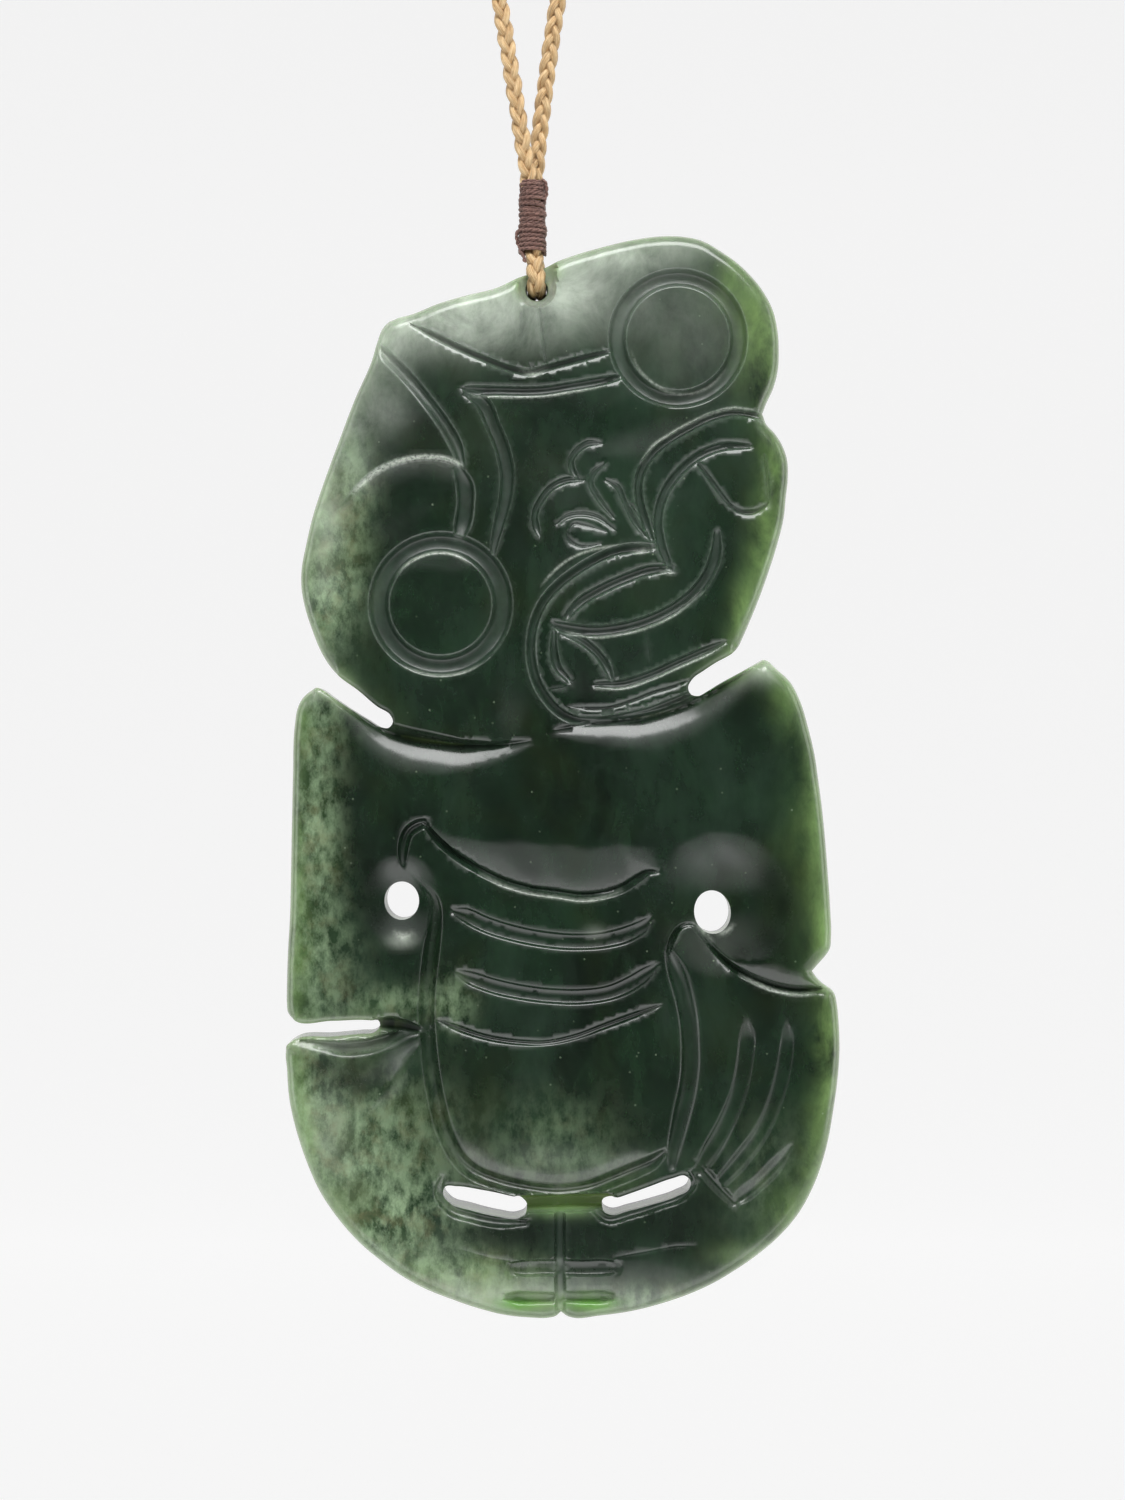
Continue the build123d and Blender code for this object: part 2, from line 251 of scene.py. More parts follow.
# %% [markdown]
# ## The carved lines
#
# A carver cuts each line with a small burr or a stone point, and works one side
# down further than the other, so a line is rarely the same on both sides. A row
# here holds what the maker controls: how far the cut reaches to the left and to
# the right of its travel, how deep it goes, how much of it is flat floor, and the
# places it passes. A third number at a place says how much of the full width and
# depth the cut has there. On a line that travels to the right, left is upwards.

# %% Lines of the head
HEAD_CUTS = table("""
    # forehead, brows and the ledge down the left brow
    .26 .26 .3 .1 | 538,303,.5 541,325 544,345 546.5,366,.4
    .28 .52 .62 .2 | 411,324,.3 434,334 456,345 481,356 507,366 531,371 545,367 567,361 586,356
        609,351,.5
    .5 .3 .4 .2 | 529,364,.3 534,371 542,369,.3
    .5 .5 .62 .5 | 461,388,.2 474,390 500,390.5 541,390.5 572,386 600,381 619,377,.6
    .45 .95 .62 0 | 376,343,.9 396,362 414,381 431,402 447,424 459,446 463,463,.6
    # left eyelid and the channel from it down to the eye
    .3 3 .34 0 | 341,507,.15 356,489,.6 372,475 390,466 410,460.5 430,459 446,461 458,466,.8
    .95 .85 .85 .5 | 458,470,.5 464,484 465,505 462,524 459,536,.6
    .8 .75 .8 .5 | 468,393,.5 482,403 492,424 502,449 507,475 505,499,.85 499,523,.7 494,545,.45
        493,553,.3
    # nostrils
    .38 .34 .34 .3 | 601,443,.4 588,443 577,450 571,460 573,471 580,480,.5
    .36 .42 .38 .3 | 582,480,.4 568,480 552,487 541,500 535,515 537,529 540,536,.4
    # the two leaf shaped loops above the mouth
    .3 .3 .26 .3 | 557,524,.6 566,517 580,514 597,517 614,529,.5
    .22 .24 .2 .1 | 569,530,.5 573,524 584,525 606,532,.4
    .24 .24 .25 .1 | 566,528,.4 568,538 577,545 601,544,.3
    .32 .32 .28 .3 | 604,464,.5 594,472 591,482 598,497 614,518,.5
    .28 .32 .28 .3 | 606,480,.5 617,486 625,502 635,522 646,537,.4
    .2 .22 .22 .1 | 627,500,.4 640,516 649,533,.4
    # mouth: its outer line from the notch on the right round to the chin
    .48 .4 .62 .4 | 766,417 752,414 734,412 712,417 691,427 672,438 656,450 643,467 638,485
        640,505 646,524 652,540,.6
    .3 .75 .75 .2 | 650,549,.7 634,550 616,553 597,561 577,573 558,588 544,605 536,624 533,643
        534,662 539,681 549,698 562,711 577,718 598,719 625,715 650,709 671,701 688,694,.9
    .22 .22 .3 .1 | 572,707,.3 590,708.5 606,708 634,700 653,692.5 672,687 689,681,.7
    # lips
    .5 .48 .6 .5 | 749,446,.5 722,446.5 700,455 681,470 665,492 658,518 661,544 671,570,.6
    .56 .54 .66 .5 | 672,568,.5 650,570 626,578 600,590 580,602 567,616,.6
    .6 .62 .68 .5 | 555,625,.6 566,628 590,631 622,628 650,620 676,607 696,591 709,573 716,552
        717,532,.5
    # right end of the mouth
    .28 .3 .35 .2 | 697,462,.5 708,476 720,492 731,506,.6
    .32 .3 .38 .2 | 730,505,.6 741,511.5 755,511.5 767,505,.5
    .28 .28 .32 .2 | 764,455,.4 767.5,477 769,502,.5
    # tongue, teeth and jaw
    .46 .46 .55 .4 | 560,631,.5 581,640 597,653 607,667 612,680,.5
    .42 .48 .58 .4 | 554,632,.6 554,650 558,667 569,680,.5
    .5 .45 .55 .4 | 596,684.5,.5 622,684 650,675.5 680,662 703,652 725,642,.3
    .14 .14 .1 0 | 645,631,.5 648,645 650,661,.5
    .14 .14 .1 0 | 545,690,.5 564,687,.5
""")
print(len(HEAD_CUTS), "lines on the head")

# %% [markdown]
# The body has broader work: the shoulders were cut back under the jaw, the breast
# slopes down to a sharp line, and ribs, thighs, hands and toes follow below. The
# lines of the face were left rough, and those of the body were polished again, so
# each group has its own share of frosting.

# %% Lines of the body
BODY_CUTS = table("""
    # shoulders, cut back under the jaw from the two neck slots
    .9 .6 .95 0 | 322,688,.25 340,702,.6 358,714.5,.9 374,725 392,733,1.2 408,738,1.3
        428,741.5,1.2 450,744,.9 468,745,.5 484,745,.1
    .6 4 1.45 0 | 326,691,.12 345,705,.3 366,720,.6 386,732,.85 404,736.5 430,741,1.05 453,744
        474,745,.85 493,745,.6 512,744,.35 530,742,.12
    3.9 .6 1.4 0 | 766,662,.2 748,672,.45 730,682,.6 712,693,.75 692,703,.9 668,711 645,717
        622,720,.85 600,722,.7 578,726,.45 556,731,.12
    .8 .5 .9 0 | 758,664,.3 735,679,.7 712,692,.9 690,701 664,710,.9 640,716,.6 616,720,.15
    # breast: the left wing, then the long line under it
    .55 .75 .7 .1 | 405,872,.3 402,858,.8 403,843 408,831 418,824 425,822,.8
    7.6 .62 1 0 | 424,822,.1 434,834,.16 446,846,.28 460,857,.46 480,869,.7 503,880,.92 530,888
        559,892 581,895 603,893 622,887,.95 638,877,.8 650,871,.45 662,873,.1
    .3 .62 .95 .1 | 424,822,.6 441,841 459,856 480,869 503,880 530,888 559,892 581,895 603,893
        622,887 638,877,.9 650,871,.6 660,873,.2
    # sides of the body
    1 .9 .95 0 | 410,872,.3 420,883,.5 433,900,.7 434,925,.9 431,950 428,975 426,1005 427,1035
        431,1072 437,1105 447,1138 460,1160 474,1172 495,1181 522,1188 559,1192 589,1188 613,1179
        635,1170 654,1161,.8 664,1153,.4
    2.6 .3 .6 0 | 440,1110,.2 450,1140,.6 463,1160,.9 480,1172 505,1182 532,1188 559,1190 585,1187
        610,1178 634,1168,.9 653,1160,.5 664,1152,.2
    1.15 1.1 .8 0 | 668,950,.4 675,968,.9 684,998 690,1040 688,1085 680,1122,.9 674,1150,.7
        672,1166,.4
    1 1.2 .28 0 | 662,985,.2 664,1030,.7 662,1080,.8 655,1120,.5 650,1150,.2
    # right thigh, whose upper side is hollowed up to the arm hole
    .55 .35 .95 .1 | 669,952,.5 674,938 683,927 692,925.5 703,937 716,953 736,970 757,981 778,988
        798,991 816,990.5 833,989.5,.9
    2.6 .4 .9 0 | 690,926,.1 703,938,.3 716,953,.5 736,970,.8 757,981 778,988 798,991,.9
        816,990.5,.8 833,989.5,.7
    # ribs and belly
    .85 .85 .5 .68 | 453,911,.25 463,914,.75 484,924 512,933 545,939.5 578,942 605,940 628,934
        643,926,.7 651,918,.2
    .78 .8 .5 .68 | 457,972,.25 468,977,.75 490,985 520,992 552,996 584,996.5 612,992 634,982
        648,972,.7 657,965,.2
    .36 .38 .42 .2 | 438,1020,.3 455,1027 485,1037 520,1042.5 545,1043 575,1037 605,1026 632,1016
        662,1005,.4
""")
FINGER_CUTS = table("""
    # fingers on the thigh
    1.05 1 .42 .4 | 746,1022,.3 747,1036,.9 745,1060 738,1094 726,1124 712,1149 699,1170,.6
    .95 .9 .36 .4 | 786,1022,.2 787,1040,.8 784,1065 775,1100 761,1132 741,1160 720,1183,.7
    .5 1.2 .34 0 | 792,1146,.3 779,1166 762,1184 745,1198 734,1204,.6
    .6 .7 .42 0 | 698,1162,.5 707,1174 718,1187 735,1204,.7
""")
FOOT_CUTS = table("""
    # left hand slot runs out in a hollow, and its lower side is bevelled off
    .75 .75 1.6 .4 | 377,1024,.8 392,1024 406,1026,.8 421,1030,.4
    .35 1.35 1.05 .1 | 297,1040,.35 318,1042,.65 343,1044 366,1042 388,1036,.8 405,1031,.5
        420,1030,.3
    1.6 1.8 .3 0 | 424,1040,.4 408,1060 391,1084 370,1108,.2
    # the deep fork that joins the foot slots, and a groove round each slot
    .95 .95 2.3 .4 | 520,1204 545,1204 575,1203 608,1202
    .5 .8 .75 .3 | 443,1178,.4 440,1192,.9 450,1207 474,1216 500,1221 526,1222,.5
    .5 .6 .7 .3 | 601,1197,.5 597,1209 605,1217.5 632,1213 660,1204 684,1194 694,1182,.6
        690,1172,.3
    # the parting of the feet, ankles and toes
    .62 .62 .75 .4 | 560,1200 560,1230 560,1270 560.5,1314
    .9 .9 .62 .6 | 515,1268.5,.8 524,1268.5 540,1268 556,1268
    .9 .9 .62 .6 | 566,1268 585,1268.5 605,1268 613,1268,.8
    .66 .66 .8 .6 | 506,1298,.5 516,1298.5 535,1299 551,1299,.9
    .66 .66 .8 .6 | 566,1298,.9 585,1298.5 604,1298 613,1298,.6
    .22 .22 .07 0 | 462,1250,.5 494,1259 514,1261.5,.6
    .22 .22 .07 0 | 615,1257.5,.6 646,1252 678,1246.5 694,1246,.4
""")
CUTS, FROSTED = [], []
for cuts, frosted in ((HEAD_CUTS, 1.0), (BODY_CUTS, 0.12), (FINGER_CUTS, 0.05), (FOOT_CUTS, 0.3)):
    CUTS += cuts
    FROSTED += [frosted] * len(cuts)
print(len(CUTS), "carved lines in all")

# %% [markdown]
# Some edges are bruised almost white, where the tool slipped over them or where a
# hard edge has been knocked for years. The same pale lines also stand for painted
# highlights, along edges that face the light from above. They are drawn as lines of
# their own: half their width in millimetres, how strong they are, and the places
# with a share.

# %% Bruised edges and painted highlights
BRUISES_AND_HIGHLIGHTS = table("""
    # half width in mm, strength, places with a share
    .24 1.2 | 352,493,.2 360,485,.7 374,473 391,464 411,458.5 430,457 446,459 459,464,.6
    .16 .75 | 396,574,.1 408,563 420,556.5 433,553 447,553 460,557 471,564,.1
    .15 .45 | 400,665,.2 415,671 432,675 450,675 467,671 480,664,.2
    .26 .85 | 521,369,.2 529,373 537,373 545,369,.3
    .14 .55 | 470,396,.3 500,397 541,396.5 572,392 606,386,.3
    .15 .65 | 641,463,.3 653,446 672,433 692,422 713,413 734,408 752,410,.5
    .26 .8 | 632,551,.2 640,551 648,549,.5
    .22 .7 | 662,572,.3 671,573,.6
    .13 .6 | 541,586,.2 555,570 573,557 596,549 618,545,.4
    .15 .5 | 567,632,.4 590,637 622,634 652,626 680,611 702,592,.3
    .15 .5 | 597,689,.5 622,688.5 650,680 680,667 703,657 722,648,.3
    .14 .5 | 631,350,.1 639,369,.6 652,382 668,391 690,393 712,384 726,368,.1
    .18 .5 | 480,874,.3 503,886 530,894 559,898 581,901 603,898 622,891,.3
    .16 .7 | 740,975,.2 757,984 778,992 798,995 816,994,.4
    .22 .5 | 694,922,.3 702,930 712,941,.3
    .3 .6 | 395,933,.3 403,937 411,934,.3
    .24 .6 | 719,935,.2 727,932 733,926,.3
""")
print(len(BRUISES_AND_HIGHLIGHTS), "bruised edges")

# %% [markdown]
# ## Hollows, eyes and scoops
#
# Between the lines the face of the stone is not flat. Broad hollows and swells were
# worn in with grit, so each is a soft oval bowl with a depth, or a swell where the
# depth is below zero. A hollow's row gives its centre and its radii in tenths of a
# millimetre, its turn in degrees and its depth in millimetres. The eyes are rings
# turned with a tube drill, and both arm holes lie in a dished scoop.

# %% Broad forms
HOLLOWS = places("""
    415,505,62,46,0,.14 442,548,60,40,0,.16 395,392,40,40,0,.25 560,455,50,60,0,.18
    640,425,60,30,20,.25 600,650,80,60,0,.2 512,655,26,100,0,.55 678,338,95,92,0,.22
    555,800,170,70,0,-.28 560,1100,110,90,0,-.4 330,1120,60,100,0,-.15 760,1090,60,100,0,-.12
    560,1345,260,92,0,.95 330,900,42,160,0,-.12 380,1085,60,26,40,.25
""")
# centre, and the inner and outer radius of the ring in millimetres
EYES = [(440.5, 604, 5.05, 7.2), (678, 338, 5.1, 6.95)]
# centre, radii across and up and depth in millimetres
SCOOPS = [(532, 288, 2.1, 1.9, .75), (402, 901, 4.3, 4.9, 1.0), (722, 904, 7.6, 7.6, 1.35)]
RING_DEPTH, RING_FLOOR = 0.85, 0.45
DOME = 0.12
eyes = [(*face_place(row), row[2], (row[2] + row[3]) / 2, (row[3] - row[2]) / 2) for row in EYES]
print(len(HOLLOWS), "hollows and swells")

# %% [markdown]
# ## Measuring distances
#
# Every height on the face comes from distances: to the outline, for the rounding
# of the rim, and to the carved lines. One function gives the nearest distance to
# a line, which side of it a point is on, and where along it the nearest place is.

# %% Distance to a drawn line
AT_ONCE = 4000                   # points that are measured together
LINE_STEP = 0.22
TINY = 1e-12                     # keeps a division from being by zero


def nearest_on(points, line, closed=False):
    """Distance to a line, its side (1 for left, -1 for right) and its place as an index."""
    start = line if closed else line[:-1]
    end = np.roll(line, -1, 0) if closed else line[1:]
    run = end[:, :2] - start[:, :2]
    square = np.maximum((run ** 2).sum(1), TINY)
    best, side, spot = np.zeros((3, len(points)))
    for low in range(0, len(points), AT_ONCE):
        part = points[low:low + AT_ONCE]
        gap_x = part[:, :1] - start[:, 0]
        gap_z = part[:, 1:2] - start[:, 1]
        t = np.clip((gap_x * run[:, 0] + gap_z * run[:, 1]) / square, 0, 1)
        gap_x -= t * run[:, 0]
        gap_z -= t * run[:, 1]
        far = gap_x ** 2 + gap_z ** 2
        i = far.argmin(1)
        row = np.arange(len(part))
        best[low:low + AT_ONCE] = np.sqrt(far[row, i])
        side[low:low + AT_ONCE] = np.sign(run[i, 0] * gap_z[row, i] - run[i, 1] * gap_x[row, i])
        spot[low:low + AT_ONCE] = i + t[row, i]
    return best, side, spot


def near_line(points, line, reach, closed=False):
    """The points near a line, with their distance and side and the line's share there."""
    low, high = line[:, :2].min(0) - reach, line[:, :2].max(0) + reach
    close = np.flatnonzero(((points > low) & (points < high)).all(1))
    far, side, spot = nearest_on(points[close], line, closed)
    return close, far, side, np.interp(spot, np.arange(len(line)), line[:, 2])


def drawn_line(spots):
    """A drawn line's points in millimetres, with the share of its width and depth."""
    return smooth_run([(*face_place(spot), spot[2] if len(spot) > 2 else 1.0) for spot in spots],
                      LINE_STEP)


cut_lines = [drawn_line(row[-1]) for row in CUTS]
bruise_and_highlight_lines = [drawn_line(row[-1]) for row in BRUISES_AND_HIGHLIGHTS]
print("carved lines of", round(sum(len(line) for line in cut_lines) * LINE_STEP), "mm in all")

# %% [markdown]
# ## The height of the front
#
# The front is a height map: at each place the face lies some depth below a flat
# slab. The cuts are joined by a high power mean, which takes the deepest cut and
# blends a little where two meet, as a burr that runs through both would leave it.

# %% Rims, groove and the shape of a cut
# how wide and how high the rims are rounded: in front, at the back and where they are sawn
OUTER_ROUND, BACK_ROUND, SAWN_ROUND = (1.35, 1.9), (1.2, 1.5), (0.35, 0.40)
HOLE_HIGH = 1.2                  # how high a hole's rim is rounded, as a share of how wide
GROOVE_OUT, GROOVE_LEAN, GROOVE_RADIUS = 3.25, 0.364, 1.9
GROOVE_TOP, GROOVE_ROOM = 4, 1.03
SLOPE = 1.5                      # a side that reaches further is a slope, and fades out softly
SLOPE_POWER, WALL_POWER, FADE_POWER = 2.4, 1.5, 0.8
LEAST_SHARE, LEAST_AT_SLOPE = 0.15, 0.6
HOLE_REACH, BRUISE_AND_HIGHLIGHT_REACH = 3, 1  # how far a hole's rim and a line of bruise and painted highlight are looked for
WORN_AT, WORN_WIDTH = 0.95, 0.12


def quarter_round(far, wide, high):
    """How far a rounded rim lowers the points at some distance from its edge."""
    inside = np.clip(1 - far / wide, 0, 1)
    return high * (1 - np.sqrt(1 - inside ** 2))


def rim_rounds(points, round_size):
    """How far the rounded rims lower each point, and its distance from the outline."""
    out_far, _, spot = nearest_on(points, outline, closed=True)
    index = np.clip(spot, 0, len(outline) - 1).astype(int)
    sawn = np.clip(outline[index, 2], 0, 1)
    wide, high = (size * (1 - sawn) + narrow * sawn
                  for size, narrow in zip(round_size, SAWN_ROUND))
    drop = quarter_round(out_far, wide, high)
    for (_, rim), loop in zip(HOLES, loops[1:]):
        close, far, _, _ = near_line(points, loop, HOLE_REACH, closed=True)
        drop[close] = np.maximum(drop[close], quarter_round(far, rim, rim * HOLE_HIGH))
    return drop, out_far


def worn_groove(points):
    """Depth of the groove above the cord hole, where the cord has its seat."""
    x, up = points[:, 0], points[:, 1] - HOLE_Z
    high = np.clip(GROOVE_RADIUS ** 2 - x ** 2 - np.minimum(up, 0) ** 2, 0, None)
    reach = GROOVE_OUT - GROOVE_LEAN * np.clip(up, 0, GROOVE_TOP) - np.sqrt(high) * GROOVE_ROOM
    near = (np.abs(x) < GROOVE_RADIUS) & (up > -GROOVE_RADIUS) & (high > 0)
    return np.where(near, np.clip(HALF_THICK - reach, 0, None), 0)


def wall_shape(u, floor, slope=False):
    """Depth share across a cut: flat floor, then a wall, or a slope that fades out."""
    v = np.clip((u - floor) / (1 - floor), 0, 1)
    return np.where(slope, (1 - v) ** SLOPE_POWER, (1 - v ** 2) ** WALL_POWER)


def fading(share, reach, other):
    """How a cut narrows as it fades out. The short side of a slope keeps most of its reach."""
    least = LEAST_AT_SLOPE if reach < SLOPE < other else LEAST_SHARE
    return np.maximum(share, least) ** FADE_POWER


def worn_line(u, half):
    """How worn a place is, which is most at the upper edge of a cut's wall."""
    return np.exp(-((u - WORN_AT) * half / WORN_WIDTH) ** 2)


def oval(x, z, centre, across, up, turn=0.0):
    """How far places are from an oval's centre, squared, as a share of its radii."""
    lean = math.radians(turn)
    dx, dz = x - centre[0], z - centre[1]
    return (((dx * math.cos(lean) + dz * math.sin(lean)) / across) ** 2
            + ((dz * math.cos(lean) - dx * math.sin(lean)) / up) ** 2)


at_hole = np.array([[0, HOLE_Z]])
print("the cord's groove is", round(worn_groove(at_hole)[0], 2), "mm deep at the hole")

# %% Height of the front and the back
JOIN_POWER, SCOOP_POWER = 5.0, 1.7
DEPTH_WEAR, WIDTH_WEAR, RING_WEAR = 1.5, 1.4, 0.8   # of the edges of cuts and eye rings
LOOK_SHARE, LOOK_MORE = 1.3, 0.2                    # how far round a cut its points are sought
HOLLOW_INSET, RIPPLE_INSET = 1.2, 1.5               # both fade out this near the outline
RIPPLE = 0.025                   # height of the faint waves that grinding by hand leaves
DEEPEST_FRONT, DEEPEST_BACK = 4.0, 3.0


def front_surface(points):
    """Depth below the slab's face, distance to the outline, wear, cut depth, bruises and painted
    highlights.
    """
    x, z = points.T
    drop, out_far = rim_rounds(points, OUTER_ROUND)
    power, worn, carved, bruise_and_highlight = np.zeros((4, len(points)))
    for (left, right, depth, floor, _), line, frosted in zip(CUTS, cut_lines, FROSTED):
        widest = max(left, right) * line[:, 2].max() * LOOK_SHARE + LOOK_MORE
        close, far, side, share = near_line(points, line, widest)
        reach = np.where(side > 0, left, right)
        half = reach * np.where(side > 0, fading(share, left, right), fading(share, right, left))
        cut = depth * share * wall_shape(far / half, floor, reach > SLOPE)
        power[close] += cut ** JOIN_POWER
        carved[close] = np.maximum(carved[close], np.where(reach > SLOPE, 0, cut) * frosted)
        edge = worn_line(far / half, half) * np.clip(share, 0, 1)
        strength = np.clip(depth * DEPTH_WEAR, 0, 1) * np.clip(WIDTH_WEAR / half, 0, 1) ** 2
        worn[close] = np.maximum(worn[close], edge * strength * frosted)
    for eye_x, eye_z, _, middle, half in eyes:
        u = np.abs(np.hypot(x - eye_x, z - eye_z) - middle) / half
        cut = RING_DEPTH * wall_shape(u, RING_FLOOR)
        power += cut ** JOIN_POWER
        carved = np.maximum(carved, cut)
        worn = np.maximum(worn, worn_line(u, half) * RING_WEAR)
    for *centre, across, up, depth in SCOOPS:
        bowl = np.clip(1 - oval(x, z, face_place(centre), across, up), 0, 1) ** SCOOP_POWER
        power += (depth * bowl) ** JOIN_POWER
    # bruises, and painted highlights on edges that face the light from above
    for (half, strength, _), line in zip(BRUISES_AND_HIGHLIGHTS, bruise_and_highlight_lines):
        close, far, _, share = near_line(points, line, BRUISE_AND_HIGHLIGHT_REACH)
        bruise_and_highlight[close] = np.maximum(bruise_and_highlight[close], np.exp(-(far / half) ** 2) * strength * share)
    power += worn_groove(points) ** JOIN_POWER
    power += drop ** JOIN_POWER
    depth = power ** (1 / JOIN_POWER)
    for *centre, across, up, turn, deep in HOLLOWS:
        far = oval(x, z, face_place(centre), across / 10, up / 10, turn)
        depth += deep * np.clip(1 - far, 0, 1) ** 2 * np.clip(out_far / HOLLOW_INSET, 0, 1)
    for eye_x, eye_z, inner, _, _ in eyes:
        depth -= DOME * np.clip(1 - (np.hypot(x - eye_x, z - eye_z) / inner) ** 2, 0, 1)
    ripples = np.sin(x * .9 + np.sin(z * .31) * 2) * np.sin(z * .7 + np.sin(x * .37) * 2)
    depth += RIPPLE * ripples * np.clip(out_far / RIPPLE_INSET, 0, 1)
    return np.clip(depth, 0, DEEPEST_FRONT), out_far, worn, carved, bruise_and_highlight


def back_surface(points):
    """Depth below the slab's back, which is plain with rounded rims, and the distance."""
    drop, out_far = rim_rounds(points, BACK_ROUND)
    depth = (drop ** JOIN_POWER + worn_groove(points) ** JOIN_POWER) ** (1 / JOIN_POWER)
    return np.clip(depth, 0, DEEPEST_BACK), out_far


eye_x, eye_z, _, middle, _ = eyes[0]
on_ring = np.array([[eye_x + middle, eye_z]])
print("the left eye's ring lies", round(front_surface(on_ring)[0][0], 2), "mm deep")

# %% [markdown]
# ## Points for the mesh
#
# A grid fine enough for the thinnest line everywhere would be far too heavy. So
# rows of points follow each carved line at fixed shares of its width, more rows
# follow the rims, rings follow the eyes, and a plain grid fills what is left. A
# point too close to an earlier one is dropped, and a Delaunay triangulation that
# keeps to the outline and the holes joins them up.

# %% Gather the points
CELL = 0.3                       # of the coarse grid in which near points are looked up
FINEST, FINE, COARSE = 0.075, 0.085, 0.16
NARROW = 1.2                     # a side that reaches less than this has fine rows
ROW_HEIGHT = 0.866               # of a grid of triangles, as a share of its step
# margins to the stone's edges and distances apart, as shares of a rim row's inset and of the
# grid's step, and the margin of the rows along cuts in millimetres
RIM_MARGIN, RIM_APART, GRID_MARGIN, GRID_APART = 0.8, 0.9, 0.5, 0.55
CUT_MARGIN = 0.1


class Spread:
    """Points that keep a distance from each other, the first ones first."""

    def __init__(self):
        self.cells = {}
        self.points = []

    def offer(self, points, apart):
        """Take the points that are not too close to those taken before."""
        ring = range(-1, 2) if apart <= CELL else range(-2, 3)
        for x, z in points:
            i, k = math.floor(x / CELL), math.floor(z / CELL)
            if all((px - x) ** 2 + (pz - z) ** 2 >= apart * apart
                   for a in ring for b in ring for px, pz in self.cells.get((i + a, k + b), ())):
                self.cells.setdefault((i, k), []).append((x, z))
                self.points.append((x, z))


def aside(line, offset, run):
    """A line's points moved to the left of their run, by one distance or one for each."""
    run = run / np.maximum(np.linalg.norm(run, axis=1), 1e-9)[:, None]
    return line[:, :2] + np.stack([-run[:, 1], run[:, 0]], 1) * np.reshape(offset, (-1, 1))


def stone_right(number):
    """Whether the stone lies to the right of a loop's run."""
    x, z = loops[number][:, :2].T
    clockwise = ((np.roll(x, -1) - x) * (np.roll(z, -1) + z)).sum() > 0
    return clockwise == (number == 0)


def inside_stone(points, margin):
    """Which points are in the stone and at least a margin from its edges."""
    keep = np.ones(len(points), bool)
    for number, loop in enumerate(loops):
        a, b = loop[:, :2], np.roll(loop[:, :2], -1, 0)
        boxed = ((points > a.min(0) - margin) & (points < a.max(0) + margin)).all(1)
        if number == 0:
            keep &= boxed
        close = np.flatnonzero(boxed & keep)
        crossings = np.zeros(len(close), int)
        for low in range(0, len(close), AT_ONCE):
            p = points[close[low:low + AT_ONCE], None]
            spans = (a[:, 1] > p[..., 1]) != (b[:, 1] > p[..., 1])
            rise = np.where(np.abs(b[:, 1] - a[:, 1]) < TINY, TINY, b[:, 1] - a[:, 1])
            x = a[:, 0] + (p[..., 1] - a[:, 1]) / rise * (b[:, 0] - a[:, 0])
            crossings[low:low + AT_ONCE] = (spans & (p[..., 0] < x)).sum(1)
        stone_side = (crossings % 2 == 1) == (number == 0)
        far = nearest_on(points[close], loop, closed=True)[0]
        keep[close] = stone_side & (far > margin)
    return keep


def face_points(rim_distances, rows, grid):
    """The points of a face: the loops first, then rims, then rows and then the grid."""
    spread = Spread()
    spread.offer(np.vstack([loop[:, :2] for loop in loops]), 0.0)
    for number, loop in enumerate(loops):
        run = np.roll(loop[:, :2], -1, 0) - np.roll(loop[:, :2], 1, 0)
        for d in rim_distances:
            row = aside(loop, -d if stone_right(number) else d, run)
            spread.offer(row[inside_stone(row, d * RIM_MARGIN)], min(COARSE, d * RIM_APART))
    for row, apart in rows:
        spread.offer(row[inside_stone(row, CUT_MARGIN)], apart)
    low, high = outline[:, :2].min(0), outline[:, :2].max(0)
    across = np.arange(low[0], high[0], grid)
    up = np.arange(low[1], high[1], grid * ROW_HEIGHT)
    lattice = np.array([(x + (k % 2) * grid / 2, z) for k, z in enumerate(up) for x in across])
    spread.offer(lattice[inside_stone(lattice, grid * GRID_MARGIN)], grid * GRID_APART)
    return np.array(spread.points)


print("stone on the right of each loop's run:", [bool(stone_right(k)) for k in range(len(loops))])

# %% Rows along the carved lines
WALL_MARKS = (0.35, 0.65, 0.85, 1.0)    # shares of the way from a cut's floor to its edge
OUTER_MARK = 1.14                # and a row just outside it
FLOORED = 0.15                   # a cut with more floor than this has a row at the floor's side
BRUISE_AND_HIGHLIGHT_MARKS = (0, 0.55, -0.55, 1.1, -1.1, 1.8, -1.8)
RING_MARKS, RING_POINTS = (-1.12, -1, -.9, -.78, -.6, -.45, 0, .45, .6, .78, .9, 1, 1.12), 190
FRONT_RIMS, FRONT_GRID = (0.09, 0.2, 0.36, 0.6, 0.9, 1.25), 0.46
BACK_RIMS, BACK_GRID = (0.12, 0.4, 0.8, 1.2), 1.3
carved_rows = []
for (left, right, _, floor, _), line in zip(CUTS, cut_lines):
    run = np.gradient(line[:, :2], axis=0)
    marks = [floor + (1 - floor) * share for share in WALL_MARKS] + [OUTER_MARK]
    carved_rows.append((line[:, :2], FINE if left < NARROW else COARSE))
    for mark in ([floor] if floor > FLOORED else []) + marks:
        for side, reach, other in ((1, left, right), (-1, right, left)):
            offset = side * reach * mark * fading(line[:, 2], reach, other)
            carved_rows.append((aside(line, offset, run), FINE if reach < NARROW else COARSE))
